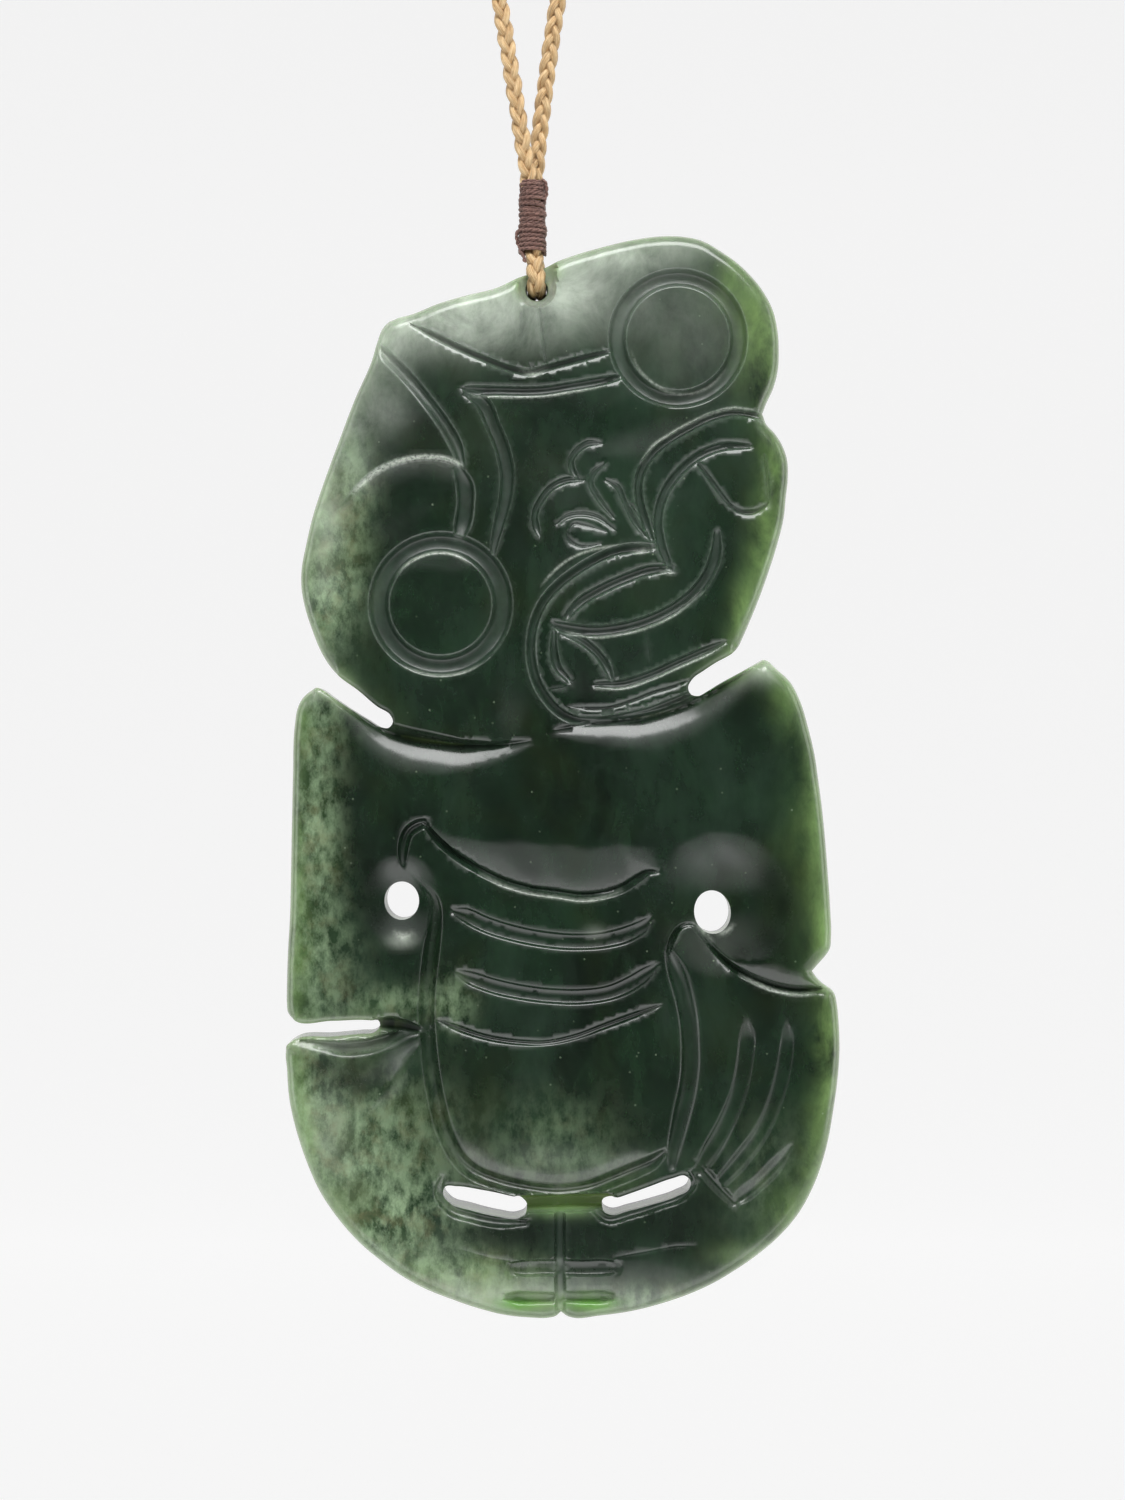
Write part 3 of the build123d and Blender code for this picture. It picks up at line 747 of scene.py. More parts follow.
# rows along the bruises and painted highlights
for (half, _, _), line in zip(BRUISES_AND_HIGHLIGHTS, bruise_and_highlight_lines):
    run = np.gradient(line[:, :2], axis=0)
    for mark in BRUISE_AND_HIGHLIGHT_MARKS:
        carved_rows.append((aside(line, half * mark, run), FINEST))
angle = np.linspace(0, 2 * math.pi, RING_POINTS, endpoint=False)
for eye_x, eye_z, _, middle, half in eyes:
    for u in RING_MARKS:
        radius = middle + u * half
        ring = np.stack([eye_x + radius * np.cos(angle), eye_z + radius * np.sin(angle)], 1)
        carved_rows.append((ring, FINE))
front_points = face_points(FRONT_RIMS, carved_rows, FRONT_GRID)
back_points = face_points(BACK_RIMS, [], BACK_GRID)
print(len(front_points), "points on the front and", len(back_points), "on the back")

# %% [markdown]
# ## Joining the stone's faces and walls
#
# Front and back share the loops of the outline and the holes, so the wall between
# them is a strip of quads from the one to the other. The cord hole was drilled from
# both faces, so it has a waist. The result is one closed surface, as the stone is.

# %% Build the stone's mesh
WALL_ROWS = 4
WAIST = 0.11                     # how much narrower the cord hole is in its middle
HOLES_LEFT_OUT, SAME_PLACE = 5, 1e-7   # for the triangulation: its kind, and when points are one


def mesh_piece(name, verts, faces, edges=()):
    """A new object with a mesh of these points in metres."""
    mesh = bpy.data.meshes.new(name)
    mesh.from_pydata(verts, edges, faces)
    return link(name, mesh)


def triangulate(points, upwards):
    """Triangles between the loops, as rows of three point numbers that wind one way."""
    edges, low = [], 0
    for loop in loops:
        edges += [(low + i, low + (i + 1) % len(loop)) for i in range(len(loop))]
        low += len(loop)
    made = delaunay_2d_cdt([Vector(p) for p in points], edges, [], HOLES_LEFT_OUT, SAME_PLACE)
    found = np.array([[made[3][i][0] for i in face] for face in made[2]])
    in_loops = (found < low).all(1)
    keep = np.ones(len(found), bool)
    keep[in_loops] = inside_stone(points[found[in_loops]].mean(1), 0.0)
    found = found[keep]
    a, b, c = (points[found[:, k]] for k in range(3))
    flip = (np.cross(b - a, c - a) < 0) == upwards
    found[flip] = found[flip][:, ::-1]
    return found


front_faces = triangulate(front_points, True)
back_faces = triangulate(back_points, False) + len(front_points)
front_depth, front_far, front_worn, front_carved, front_bruise_and_highlight = front_surface(front_points)
back_depth, back_far = back_surface(back_points)
front_y, back_y = front_depth - HALF_THICK, HALF_THICK - back_depth
edge_count = sum(len(loop) for loop in loops)
cord_hole = slice(len(outline), len(outline) + len(loops[1]))
verts = [np.c_[front_points[:, 0], front_y, front_points[:, 1]],
         np.c_[back_points[:, 0], back_y, back_points[:, 1]]]
for row in range(1, WALL_ROWS):
    t = row / WALL_ROWS
    y = front_y[:edge_count] * (1 - t) + back_y[:edge_count] * t
    wall = np.c_[front_points[:edge_count, 0], y, front_points[:edge_count, 1]]
    waist = 1 - WAIST * math.sin(math.pi * t)
    wall[cord_hole, 0] *= waist
    wall[cord_hole, 2] = HOLE_Z + (wall[cord_hole, 2] - HOLE_Z) * waist
    verts.append(wall)
stone_verts = np.vstack(verts)
wall_start = len(front_points) + len(back_points)
wall_rows = [np.arange(edge_count) + start for start in (
    0, *(wall_start + k * edge_count for k in range(WALL_ROWS - 1)), len(front_points))]
faces = front_faces.tolist() + back_faces.tolist()
low = 0
for number, loop in enumerate(loops):
    a = low + np.arange(len(loop))
    b = np.roll(a, -1)
    for upper, lower in zip(wall_rows, wall_rows[1:]):
        quads = np.stack([upper[a], upper[b], lower[b], lower[a]], 1)
        faces += (quads if stone_right(number) else quads[:, ::-1]).tolist()
    low += len(loop)
stone = mesh_piece("carved_stone", (stone_verts * MM).tolist(), faces)
stone_mesh = stone.data
print("stone of", len(stone_verts), "points and", sum(len(f) - 2 for f in faces), "triangles")

# %% Check that it is closed and faces outwards
SHARP_DEGREES = 62
check = bmesh.new()
check.from_mesh(stone_mesh)
open_edges = sum(1 for e in check.edges if not e.is_manifold)
volume = check.calc_volume(signed=True) / MM ** 3
check.free()
stone_mesh.shade_smooth()
stone_mesh.set_sharp_from_angle(angle=math.radians(SHARP_DEGREES))
print("open edges", open_edges, "volume", round(volume), "cubic mm (below 0 if inside out)")

# %% [markdown]
# ## What the stone's colour follows
#
# Nephrite is dark where it is thick and lets light through where it is thin, so
# its rims glow a yellower green. The skin of the old pebble is left along the left
# side, milky and mottled. The mesh carries these as plain values at its points:
# how near the rim is, how thin the stone is, how worn a carved edge is, and soft
# oval patches. A patch has a centre and radii in tenths of a millimetre, and a
# strength. Some are milky or mottled. Some are a painted glow of light through the
# thin rims, and some are painted shade in the hollows round the holes, the slots
# and the fork. At the toes light from behind shows green through the bottom of a
# cut. The wall of the cord hole gets painted shade too, and the inner ends of the
# slots sawn in from the neck hardly glow.

# %% Patches on the stone
PATCHES = {
    "milky": """
        410,324,70,24,1 470,306,70,26,1 540,292,60,26,.9 600,264,60,16,.7 650,252,50,14,.45
        390,345,22,40,.55 352,430,20,60,.5 328,505,18,50,.4 480,335,90,26,.35 585,300,60,30,.3
        318,690,14,10,.7 764,668,14,14,.7 330,1043,44,5,.7 640,1298,90,14,.3 680,1272,60,18,.08
        770,1250,40,8,.3 330,1140,30,60,.25 470,1292,80,16,.5 595,930,10,6,.2 560,1155,80,16,.12
        402,939,13,7,.45 560,1203,40,9,.35 430,1255,40,24,.14 690,325,60,60,.12 322,560,20,60,.22
        378,408,30,30,.3""",
    "mottled": """
        332,540,30,76,1 318,600,26,50,.9 345,480,24,40,.6 318,720,26,40,.55 318,830,22,90,.75
        322,960,34,60,.5 312,1100,30,70,.85 345,1150,50,60,.8 385,1215,66,56,.95 440,1272,80,24,.9
        400,1120,50,50,.35 555,1135,60,40,.24 452,1000,20,26,.5 395,1000,50,16,.45
        650,1296,90,14,.6 560,1162,90,18,.16 480,1290,60,14,.6 770,1180,50,60,.16
        300,900,20,120,.3""",
    # painted glow of light through the thin rims, the fork and the toes
    "painted_glow": """
        764,335,26,60,.95 776,460,16,50,.8 768,560,18,60,1 745,625,16,36,.9 735,290,30,30,.5
        790,700,20,34,.6 813,800,10,80,.7 824,925,12,50,.9 830,1020,16,40,.9 833,1090,15,60,1
        818,1160,17,50,.9 792,1212,24,28,.8 750,1252,34,14,.6 800,850,26,80,.2 298,600,10,60,.6
        300,720,12,40,.5 297,860,10,90,.6 296,960,14,50,.8 296,1080,14,50,.7 305,1150,14,40,.7
        330,1210,20,24,.5 470,1277,60,22,.5 560,1200,40,10,.9 530,1299,24,9,.9 590,1299,24,9,1
        590,1180,60,10,.2 519,286,8,14,1 556,276,8,8,.7""",
    # painted shade in the hollows round the holes, the slots and the fork
    "dark": """
        536.8,292.3,10,10,.9 770,876,14,20,.8 780,905,14,28,.95 768,938,17,16,.85 742,950,14,8,.6
        374,880,10,24,.7 379,917,13,18,.8 400,1030,24,8,.6 352,1078,32,20,.6 330,1066,24,12,.5
        410,736,22,10,.6 682,706,16,10,.5 500,1230,50,12,.55 640,1224,56,14,.5 664,940,12,12,.5
        700,1200,30,16,.4""",
    "lit": "519,1299,20,6,1 590,1299,22,6,1 560,1203,36,8,.35",
    "sawn": "384,718,36,30,.85 694,690,34,28,.8",
}


GLOW_WIDTH = 0.9                 # of the glow at a rim, in millimetres
RIM_WIDTH = 1.4                  # nearer to the outline than this, a low place is a rounded rim
THIN_FROM, THIN_SPAN = 1.3, 1.4  # the depths between which light begins to come through
FULLY_CARVED = 0.35              # the depth from which a cut is frosted all over


def patches(name):
    """Soft oval patches laid over each other, from 0 to 1, at each point of the stone."""
    value = np.zeros(len(stone_verts))
    for *centre, across, up, strength in places(PATCHES[name]):
        far = oval(stone_verts[:, 0], stone_verts[:, 2], place(centre), across / 10, up / 10)
        value = 1 - (1 - value) * (1 - strength * np.exp(-far))
    return value


def filled(*parts):
    """Values of the front, or of the front and the back, with 0 at all other points."""
    given = np.concatenate(parts)
    return np.r_[given, np.zeros(len(stone_verts) - len(given))]


rim_far = filled(front_far, back_far)
lit_through = np.clip((filled(front_depth, back_depth) - THIN_FROM) / THIN_SPAN, 0, 1)
stone_values = {
    "rim_glow": np.exp(-(rim_far / GLOW_WIDTH) ** 1.2) * (1 - patches("sawn")),
    "thin_glow": np.where(rim_far < RIM_WIDTH, 0, lit_through),
    "worn_edge": filled(front_worn),
    "carved": np.clip(filled(front_carved) / FULLY_CARVED, 0, 1),
    "bruise_and_highlight": filled(front_bruise_and_highlight),
    **{name: patches(name) for name in ("milky", "mottled", "painted_glow", "dark", "lit")},
}
# painted shade on the wall of the cord hole
for row in wall_rows:
    stone_values["dark"][row[cord_hole]] = 1.0
for name, value in stone_values.items():
    attribute = stone_mesh.attributes.new(name, "FLOAT", "POINT")
    attribute.data.foreach_set("value", value.astype(np.float32))
print({name: round(float(value.mean()), 3) for name, value in stone_values.items()})

# %% [markdown]
# ## Small helpers for node trees
#
# A colour is easiest to write as the hex value that a paint program shows. Blender
# mixes light in linear values, so one function turns the one into the other. Two
# more start an empty tree, and add a node, set it and link its inputs, for materials
# and for Geometry Nodes alike.

# %% Colours and nodes
def colour(hex_value):
    """Linear red, green, blue and alpha of an sRGB hex value."""
    parts = [int(hex_value[i:i + 2], 16) / 255 for i in (1, 3, 5)]
    return (*(p / 12.92 if p < 0.04045 else ((p + 0.055) / 1.055) ** 2.4 for p in parts), 1.0)


def empty_tree(owner):
    """The node tree of a new material or world, with nothing in it."""
    owner.use_nodes = True
    owner.node_tree.nodes.clear()
    return owner.node_tree


def add(tree, kind, inputs=None, **settings):
    """A node of a kind, with its settings, and its inputs as numbers or links."""
    node = tree.nodes.new(kind)
    for name, value in settings.items():
        setattr(node, name, value)
    for key, value in (inputs or {}).items():
        if isinstance(value, bpy.types.NodeSocket):
            tree.links.new(value, node.inputs[key])
        else:
            node.inputs[key].default_value = value
    return node


print("white is", colour("#ffffff"), "and mid grey is", round(colour("#808080")[0], 3))

# %% [markdown]
# ## Polished nephrite
#
# Nephrite jade is a felt of tiny fibres, ground with grit and polished until it has
# a soft, waxy gloss. Its colour is cloudy at a scale of centimetres and fibrous at
# a scale of millimetres. It bends light by about 1.61, so its reflections are a
# little stronger than those of glass. Some light enters and scatters, which
# subsurface scattering gives with a radius of a millimetre or two, longest in green.

# %% Patterns in the stone
PATTERNS = {
    # grain in mm, detail, scale upwards (under 1 draws it out), distortion, and the span read
    "clouds": (16.0, 3, 1.0, 0.6, .38, .66),
    "olive": (9.0, 2, 1.0, 0.0, .52, .70),
    "felt": (2.6, 6, 0.45, 0.3, .50, .78),
    "haze": (9.0, 8, 0.55, 0.4, .46, .74),
    "veil": (4.5, 5, 0.6, 0.3, .30, .70),
    "mist": (6.0, 7, 0.8, 0.3, .215, .67),
    "curd": (1.7, 10, 0.6, 0.06, .41, .60),
    "rust": (3.4, 8, 1.0, 0.1, .50, .64),
    "speck": (0.6, 6, 0.8, 0.0, .42, .66),
    "frost": (1.1, 5, 1.0, 0.0, .25, .60),
    "grain": (0.45, 4, 1.0, 0.0, .20, .80),
    "grit": (0.35, 5, 1.0, 0.0, .28, .58),
}


def pattern(tree, where, grain, detail, stretch, distortion, low, high):
    """How much of a cloudy pattern shows at each place, from 0 to 1."""
    laid = add(tree, "ShaderNodeMapping", {"Vector": where, "Scale": (1.0, 1.0, stretch)})
    cloud = add(tree, "ShaderNodeTexNoise", {
        "Vector": laid.outputs[0], "Scale": 1 / (grain * MM), "Detail": detail,
        "Roughness": 0.68, "Distortion": distortion})
    return add(tree, "ShaderNodeMapRange", {
        "Value": cloud.outputs["Fac"], "From Min": low, "From Max": high}).outputs[0]


def coat(tree, under, paint, *shares):
    """One more colour over what is there, as far as all its shares let it cover."""
    cover = shares[0]
    for share in shares[1:]:
        cover = add(tree, "ShaderNodeMath", {0: cover, 1: share}, operation="MULTIPLY").outputs[0]
    return add(tree, "ShaderNodeMix", {"Factor": cover, 6: under, 7: colour(paint)},
               data_type="RGBA").outputs[2]


nephrite = bpy.data.materials.new("polished_nephrite")
tree = empty_tree(nephrite)
where = add(tree, "ShaderNodeTexCoord").outputs["Object"]
seen = {name: add(tree, "ShaderNodeAttribute", attribute_name=name).outputs["Fac"]
        for name in stone_values}
seen.update({name: pattern(tree, where, *row) for name, row in PATTERNS.items()})
print(len(seen), "values and patterns for the stone's colour")

# %% Colours of the stone
STONE_COATS = [
    # colour, how far it covers, and the values and patterns that it follows
    ("#182c1d", 0.9, "clouds"),
    ("#1f2a12", 0.4, "olive"),
    ("#26402a", 0.45, "felt"),
    ("#35493b", 0.40, "haze"),
    ("#43584a", 0.30, "carved", "frost"),
    ("#435c3b", 0.9, "mottled", "veil"),
    ("#9ab38e", 0.9, "mottled", "curd"),
    ("#3c5238", 0.40, "mottled", "speck"),
    ("#4d5a34", 0.55, "mottled", "olive"),
    ("#6d6a4c", 0.55, "mottled", "rust"),
    ("#cfdaca", 0.92, "milky", "mist"),
    # painted glow of light through the thin rims
    ("#86a862", 0.9, "painted_glow", "veil"),
    ("#7f9f6a", 0.55, "rim_glow", "veil"),
    ("#b3c4a0", 0.50, "rim_glow", "rim_glow", "rim_glow"),
    ("#a6c274", 0.9, "thin_glow"),
    # painted shade
    ("#0e170f", 0.9, "dark"),
    ("#5d9a38", 0.8, "lit"),
    ("#9fb0a2", 0.30, "worn_edge", "grain"),
    # white bruises, and painted highlights on edges that face the light
    ("#d3dccf", 0.8, "bruise_and_highlight", "grit"),
]
body = colour("#0c180f")
for paint, share, *names in STONE_COATS:
    body = coat(tree, body, paint, share, *(seen[name] for name in names))
flecks = add(tree, "ShaderNodeTexVoronoi", {"Vector": where, "Scale": 1 / (1.9 * MM)})
fleck = add(tree, "ShaderNodeMapRange", {
    "Value": flecks.outputs["Distance"], "From Min": 0.07, "From Max": 0.03})
body = coat(tree, body, "#93a58a", 0.5, fleck.outputs[0], seen["veil"])
gloss = add(tree, "ShaderNodeMapRange", {"Value": seen["grain"], "To Min": 0.16, "To Max": 0.24})
# rougher where carved, and rougher with weaker reflections where shade is painted
for name, rougher in (("carved", 0.16), ("dark", 0.12)):
    gloss = add(tree, "ShaderNodeMath", {0: seen[name], 1: rougher, 2: gloss.outputs[0]},
                operation="MULTIPLY_ADD")
shine = add(tree, "ShaderNodeMapRange", {"Value": seen["dark"], "To Min": 0.5, "To Max": 0.1})
bump = add(tree, "ShaderNodeBump", {
    "Height": seen["felt"], "Strength": 0.10, "Distance": 0.05 * MM})
shader = add(tree, "ShaderNodeBsdfPrincipled", {
    "Base Color": body, "Roughness": gloss.outputs[0], "Normal": bump.outputs[0], "IOR": 1.61,
    "Specular IOR Level": shine.outputs[0], "Subsurface Weight": 0.15,
    "Subsurface Radius": (0.5, 1.0, 0.45), "Subsurface Scale": 1.0 * MM})
add(tree, "ShaderNodeOutputMaterial", {"Surface": shader.outputs[0]})
stone_mesh.materials.append(nephrite)
print("stone material of", len(tree.nodes), "nodes")

# %% Place the stone
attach(stone, "stone")
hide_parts("pendant")
print("the stone is in place")

# %% [markdown]
# ## The plaited cord
#
# The necklace is one length of waxed cord, plaited from three strands, which shows
# as two rows of long slanting strands that meet in a V every 1.8 mm. The line of the
# cord is a smooth spline through the same route as the solid, moved by half a
# millimetre at its foot, where the photograph shows both legs a little left of the
# hole. The strands follow it.

# %% The cord's line
def made_mesh(holder, name):
    """The mesh that an object's curve or nodes make. The object itself is taken away."""
    bpy.context.view_layer.update()
    mesh = bpy.data.meshes.new_from_object(
        holder.evaluated_get(bpy.context.evaluated_depsgraph_get()))
    mesh.name = name
    bpy.data.objects.remove(holder)
    return mesh


def cord_line(name, points):
    """Points along the smooth spline of a route given in millimetres."""
    data = bpy.data.curves.new(name, "CURVE")
    data.dimensions = "3D"
    data.resolution_u = 48
    spline = data.splines.new("NURBS")
    spline.points.add(len(points) - 1)
    for point, spot in zip(spline.points, points):
        point.co = (*(c * MM for c in spot), 1.0)
    spline.order_u = 3
    spline.use_endpoint_u = True
    line = np.array([v.co for v in made_mesh(link(name, data), name).vertices], float)
    length = np.linalg.norm(np.diff(line, axis=0), axis=1).sum()
    print(name, "is", round(length / MM, 1), "mm long on", len(line), "points")
    return line


loop_line = cord_line("loop_line", places("""
    -.3,-.925,-323.406 -.5,-.925,-319.756 -42.8,-.1,-68.6 -48.3,0,-36.1 -30.9,0,-7.7 0,0,3.5
    30.9,0,-7.7 46.7,0,-36.1 41.2,.1,-68.6 3.2,.8,-293 -.5,.925,-319.756 -.3,.925,-323.406"""))
eye_line = cord_line("eye_line", places("""
    -.3,-.925,-323.406 -.25,-.925,-327.456 -.1,-2.025,-328.556 0,-2.025,-330.756
    0,2.025,-330.756 -.1,2.025,-328.556 -.25,.925,-327.456 -.3,.925,-323.406"""))

# %% [markdown]
# A plait, and a thread laid from plies, follow one rule. Each strand swings from
# side to side once in a lay, at its own phase. In a laid thread it also swings in
# and out once, so it runs round in a circle. In a plait it goes in and out twice,
# so it passes over one neighbour and under the next. One Geometry Nodes tree can
# make both, with its sizes as named inputs. It repeats the line for each strand,
# moves every point by the rule, and runs a section with ridges of fibre along it.

# %% The strand tree
STRAND_RULE = [
    # each step of the sum: its name, the operation and what it works on
    ("share", "DIVIDE", "number", "Strands"),
    ("phase", "MULTIPLY", "share", 2 * math.pi),
    ("lays", "DIVIDE", "length", "Lay"),
    ("turn", "MULTIPLY", "lays", 2 * math.pi),
    ("angle", "ADD", "turn", "phase"),
    ("across", "COSINE", "angle", 0.0),
    ("aside", "MULTIPLY", "across", "Half Width"),
    ("weave angle", "MULTIPLY", "angle", "Weave"),
    ("up and down", "SINE", "weave angle", 0.0),
    ("out", "MULTIPLY", "up and down", "Half Thickness"),
    ("along", "DIVIDE", "length", MM),
]
STRAND_INPUTS = {
    "Strands": "Int", "Ridges": "Int", "Step": "Float", "Lay": "Float", "Weave": "Float",
    "Half Width": "Float", "Half Thickness": "Float", "Strand Radius": "Float",
    "Ridge Foot": "Float", "Finish": "Material",
}
strands = bpy.data.node_groups.new("laid_strands", "GeometryNodeTree")
for name, kind in {"Geometry": "Geometry", **STRAND_INPUTS}.items():
    strands.interface.new_socket(name, in_out="INPUT", socket_type="NodeSocket" + kind)
strands.interface.new_socket("Geometry", in_out="OUTPUT", socket_type="NodeSocketGeometry")
given = add(strands, "NodeGroupInput").outputs
line = add(strands, "GeometryNodeMeshToCurve", {"Mesh": given["Geometry"]})
even = add(strands, "GeometryNodeResampleCurve", {
    "Curve": line.outputs[0], "Length": given["Step"]}, mode="LENGTH")
copies = add(strands, "GeometryNodeDuplicateElements", {
    "Geometry": even.outputs[0], "Amount": given["Strands"]}, domain="SPLINE")
known = {name: given[name] for name in STRAND_INPUTS}
known["number"] = copies.outputs["Duplicate Index"]
known["length"] = add(strands, "GeometryNodeSplineParameter").outputs["Length"]
for name, operation, *terms in STRAND_RULE:
    known[name] = add(strands, "ShaderNodeMath", {
        k: known.get(term, term) for k, term in enumerate(terms)}, operation=operation).outputs[0]
print("strand rule of", len(STRAND_RULE), "steps")

# %% The strands' places and sections
tangent = add(strands, "GeometryNodeInputTangent").outputs[0]
normal = add(strands, "GeometryNodeInputNormal").outputs[0]
sideways = add(strands, "ShaderNodeVectorMath", {0: tangent, 1: normal}, operation="CROSS_PRODUCT")
parts = [add(strands, "ShaderNodeVectorMath", {0: way, "Scale": known[far]}, operation="SCALE")
         for way, far in ((normal, "out"), (sideways.outputs[0], "aside"))]
offset = add(strands, "ShaderNodeVectorMath", {k: part.outputs[0] for k, part in enumerate(parts)})
strand = add(strands, "GeometryNodeSetPosition", {
    "Geometry": copies.outputs["Geometry"], "Offset": offset.outputs[0]})
for name, value in (("along", known["along"]), ("strand", known["number"])):
    strand = add(strands, "GeometryNodeStoreNamedAttribute", {
        "Geometry": strand.outputs[0], "Name": name, "Value": value},
        data_type="FLOAT", domain="POINT")
section = add(strands, "GeometryNodeCurveStar", {
    "Points": given["Ridges"], "Inner Radius": given["Ridge Foot"],
    "Outer Radius": given["Strand Radius"]})
spot = add(strands, "GeometryNodeInputPosition").outputs[0]
way_out = add(strands, "ShaderNodeVectorMath", {0: spot}, operation="NORMALIZE").outputs[0]
section = add(strands, "GeometryNodeStoreNamedAttribute", {
    "Geometry": section.outputs[0], "Name": "around", "Value": way_out},
    data_type="FLOAT_VECTOR", domain="POINT")
rope = add(strands, "GeometryNodeCurveToMesh", {
    "Curve": strand.outputs[0], "Profile Curve": section.outputs[0], "Fill Caps": True})
smooth = add(strands, "GeometryNodeSetShadeSmooth", {"Geometry": rope.outputs[0]})
real = add(strands, "GeometryNodeRealizeInstances", {"Geometry": smooth.outputs[0]})
finish = add(strands, "GeometryNodeSetMaterial", {
    "Geometry": real.outputs[0], "Material": given["Finish"]})
add(strands, "NodeGroupOutput", {"Geometry": finish.outputs[0]})
print("strand tree of", len(strands.nodes), "nodes")


# %% Lay strands along lines
def lay_strands(name, lines, values):
    """A plain mesh of strands along some lines, with the tree's inputs by name."""
    verts, edges = [], []
    for line in lines:
        edges += [(len(verts) + i, len(verts) + i + 1) for i in range(len(line) - 1)]
        verts += [tuple(p) for p in line]
    holder = mesh_piece(name + "_lines", verts, [], edges)
    modifier = holder.modifiers.new("strands", "NODES")
    modifier.node_group = strands
    for item in strands.interface.items_tree:
        if item.in_out == "INPUT" and item.name in values:
            modifier[item.identifier] = values[item.name]
    made = made_mesh(holder, name)
    print(name, "has", sum(len(p.vertices) - 2 for p in made.polygons), "triangles")
    return link(name, made)


# %% [markdown]
# The strands are twisted natural fibre soaked in wax: golden tan, lighter on the
# crown of each strand and brown in the gaps. Fine fibres run along each strand, so
# the pattern follows the length along it and the place round it. The wax gives a
# dull sheen.

# %% Materials of cord and thread
STRAND_SHIFT, DRAWN_OUT = 7.3, 0.16   # of the pattern, from strand to strand and along them
PATCH_GRAIN = 0.9 * MM


def fibre_material(name, dark, middle, light, streaks):
    """Waxed fibre, with streaks along each strand."""
    made = bpy.data.materials.new(name)
    tree = empty_tree(made)
    along, strand, around = (add(tree, "ShaderNodeAttribute", attribute_name=kind)
                             for kind in ("along", "strand", "around"))
    parts = add(tree, "ShaderNodeSeparateXYZ", {0: around.outputs["Vector"]})
    shift = add(tree, "ShaderNodeMath", {0: strand.outputs["Fac"], 1: STRAND_SHIFT},
                operation="MULTIPLY")
    long_way = add(tree, "ShaderNodeMath", {
        0: along.outputs["Fac"], 1: DRAWN_OUT, 2: shift.outputs[0]}, operation="MULTIPLY_ADD")
    spot = add(tree, "ShaderNodeCombineXYZ", {
        0: parts.outputs[0], 1: parts.outputs[1], 2: long_way.outputs[0]}).outputs[0]
    streak = pattern(tree, spot, 1 / (streaks * MM), 5, 1.0, 0.0, .34, .66)
    patch = pattern(tree, spot, 1 / PATCH_GRAIN, 2, 1.0, 0.0, .50, .80)
    base = coat(tree, colour(middle), light, 0.9, streak)
    base = coat(tree, base, dark, 0.7, patch)
    bump = add(tree, "ShaderNodeBump", {"Height": streak, "Strength": 0.7, "Distance": 0.06 * MM})
    shader = add(tree, "ShaderNodeBsdfPrincipled", {
        "Base Color": base, "Roughness": 0.55, "Normal": bump.outputs[0], "IOR": 1.47,
        "Sheen Weight": 0.1, "Sheen Roughness": 0.5})
    add(tree, "ShaderNodeOutputMaterial", {"Surface": shader.outputs[0]})
    return made


waxed_cord = fibre_material("waxed_flax_cord", "#5a3513", "#a8783a", "#f3dbae", 6.0)
waxed_thread = fibre_material("waxed_brown_thread", "#120a09", "#38201b", "#b08578", 3.4)
print(waxed_cord.name, "and", waxed_thread.name)

# %% Plait the loop and the eye
PLAIT = {
    "Strands": 3, "Ridges": 5, "Step": 0.30 * MM, "Lay": 5.4 * MM, "Weave": 2.0,
    "Half Width": 0.50 * MM, "Half Thickness": 0.33 * MM, "Strand Radius": 0.40 * MM,
    "Ridge Foot": 0.33 * MM, "Finish": waxed_cord,
}
loop_plait = lay_strands("neck_cord_plait", [loop_line], PLAIT)
eye_plait = lay_strands("cord_eye_plait", [eye_line], {
    **PLAIT, "Step": 0.18 * MM, "Half Thickness": 0.42 * MM,
    "Strand Radius": 0.46 * MM, "Ridge Foot": 0.38 * MM})

# %% [markdown]
# ## The binding
#
# Above the stone both strands of the cord are bound together with dark brown waxed
# thread, wound about fourteen times by hand. So the turns are uneven: they lean, the
# winding is a little fuller in its middle, a loop of thread stands out at the upper
# right and the end hangs out at the lower left. A first layer lies under it. The
# thread is two plies laid together, so the same tree makes it.

# %% Wind the thread
random.seed(7)
BINDING_FOOT, BINDING_TOP = -326.95, -319.85
TURNS, PER_TURN = 14, 40
HALF_STRAIGHT, WIND_RADIUS = 0.925, 1.16
MIDDLE_X = -0.44
THREAD_STEP = 0.2
JITTER = (.12, .15, .20)         # most of a turn's radius, height and lean, either way
FULLER = 0.06                    # of the winding's middle
UNDER_X, UNDER_Y, UNDER_LIFT = 0.86, 0.93, 0.26   # the first layer's shares and its lift


def round_strands(share, radius):
    """A place on the way round both strands of cord, as a share of that way."""
    straight, bend = 2 * HALF_STRAIGHT, math.pi * radius
    at = (share % 1) * 2 * (straight + bend)
    side = 1
    if at >= straight + bend:
        at -= straight + bend
        side = -1
    if at >= bend:
        return -side * radius, side * (HALF_STRAIGHT - (at - bend))
    return (side * radius * math.cos(at / radius),
            side * (HALF_STRAIGHT + radius * math.sin(at / radius)))


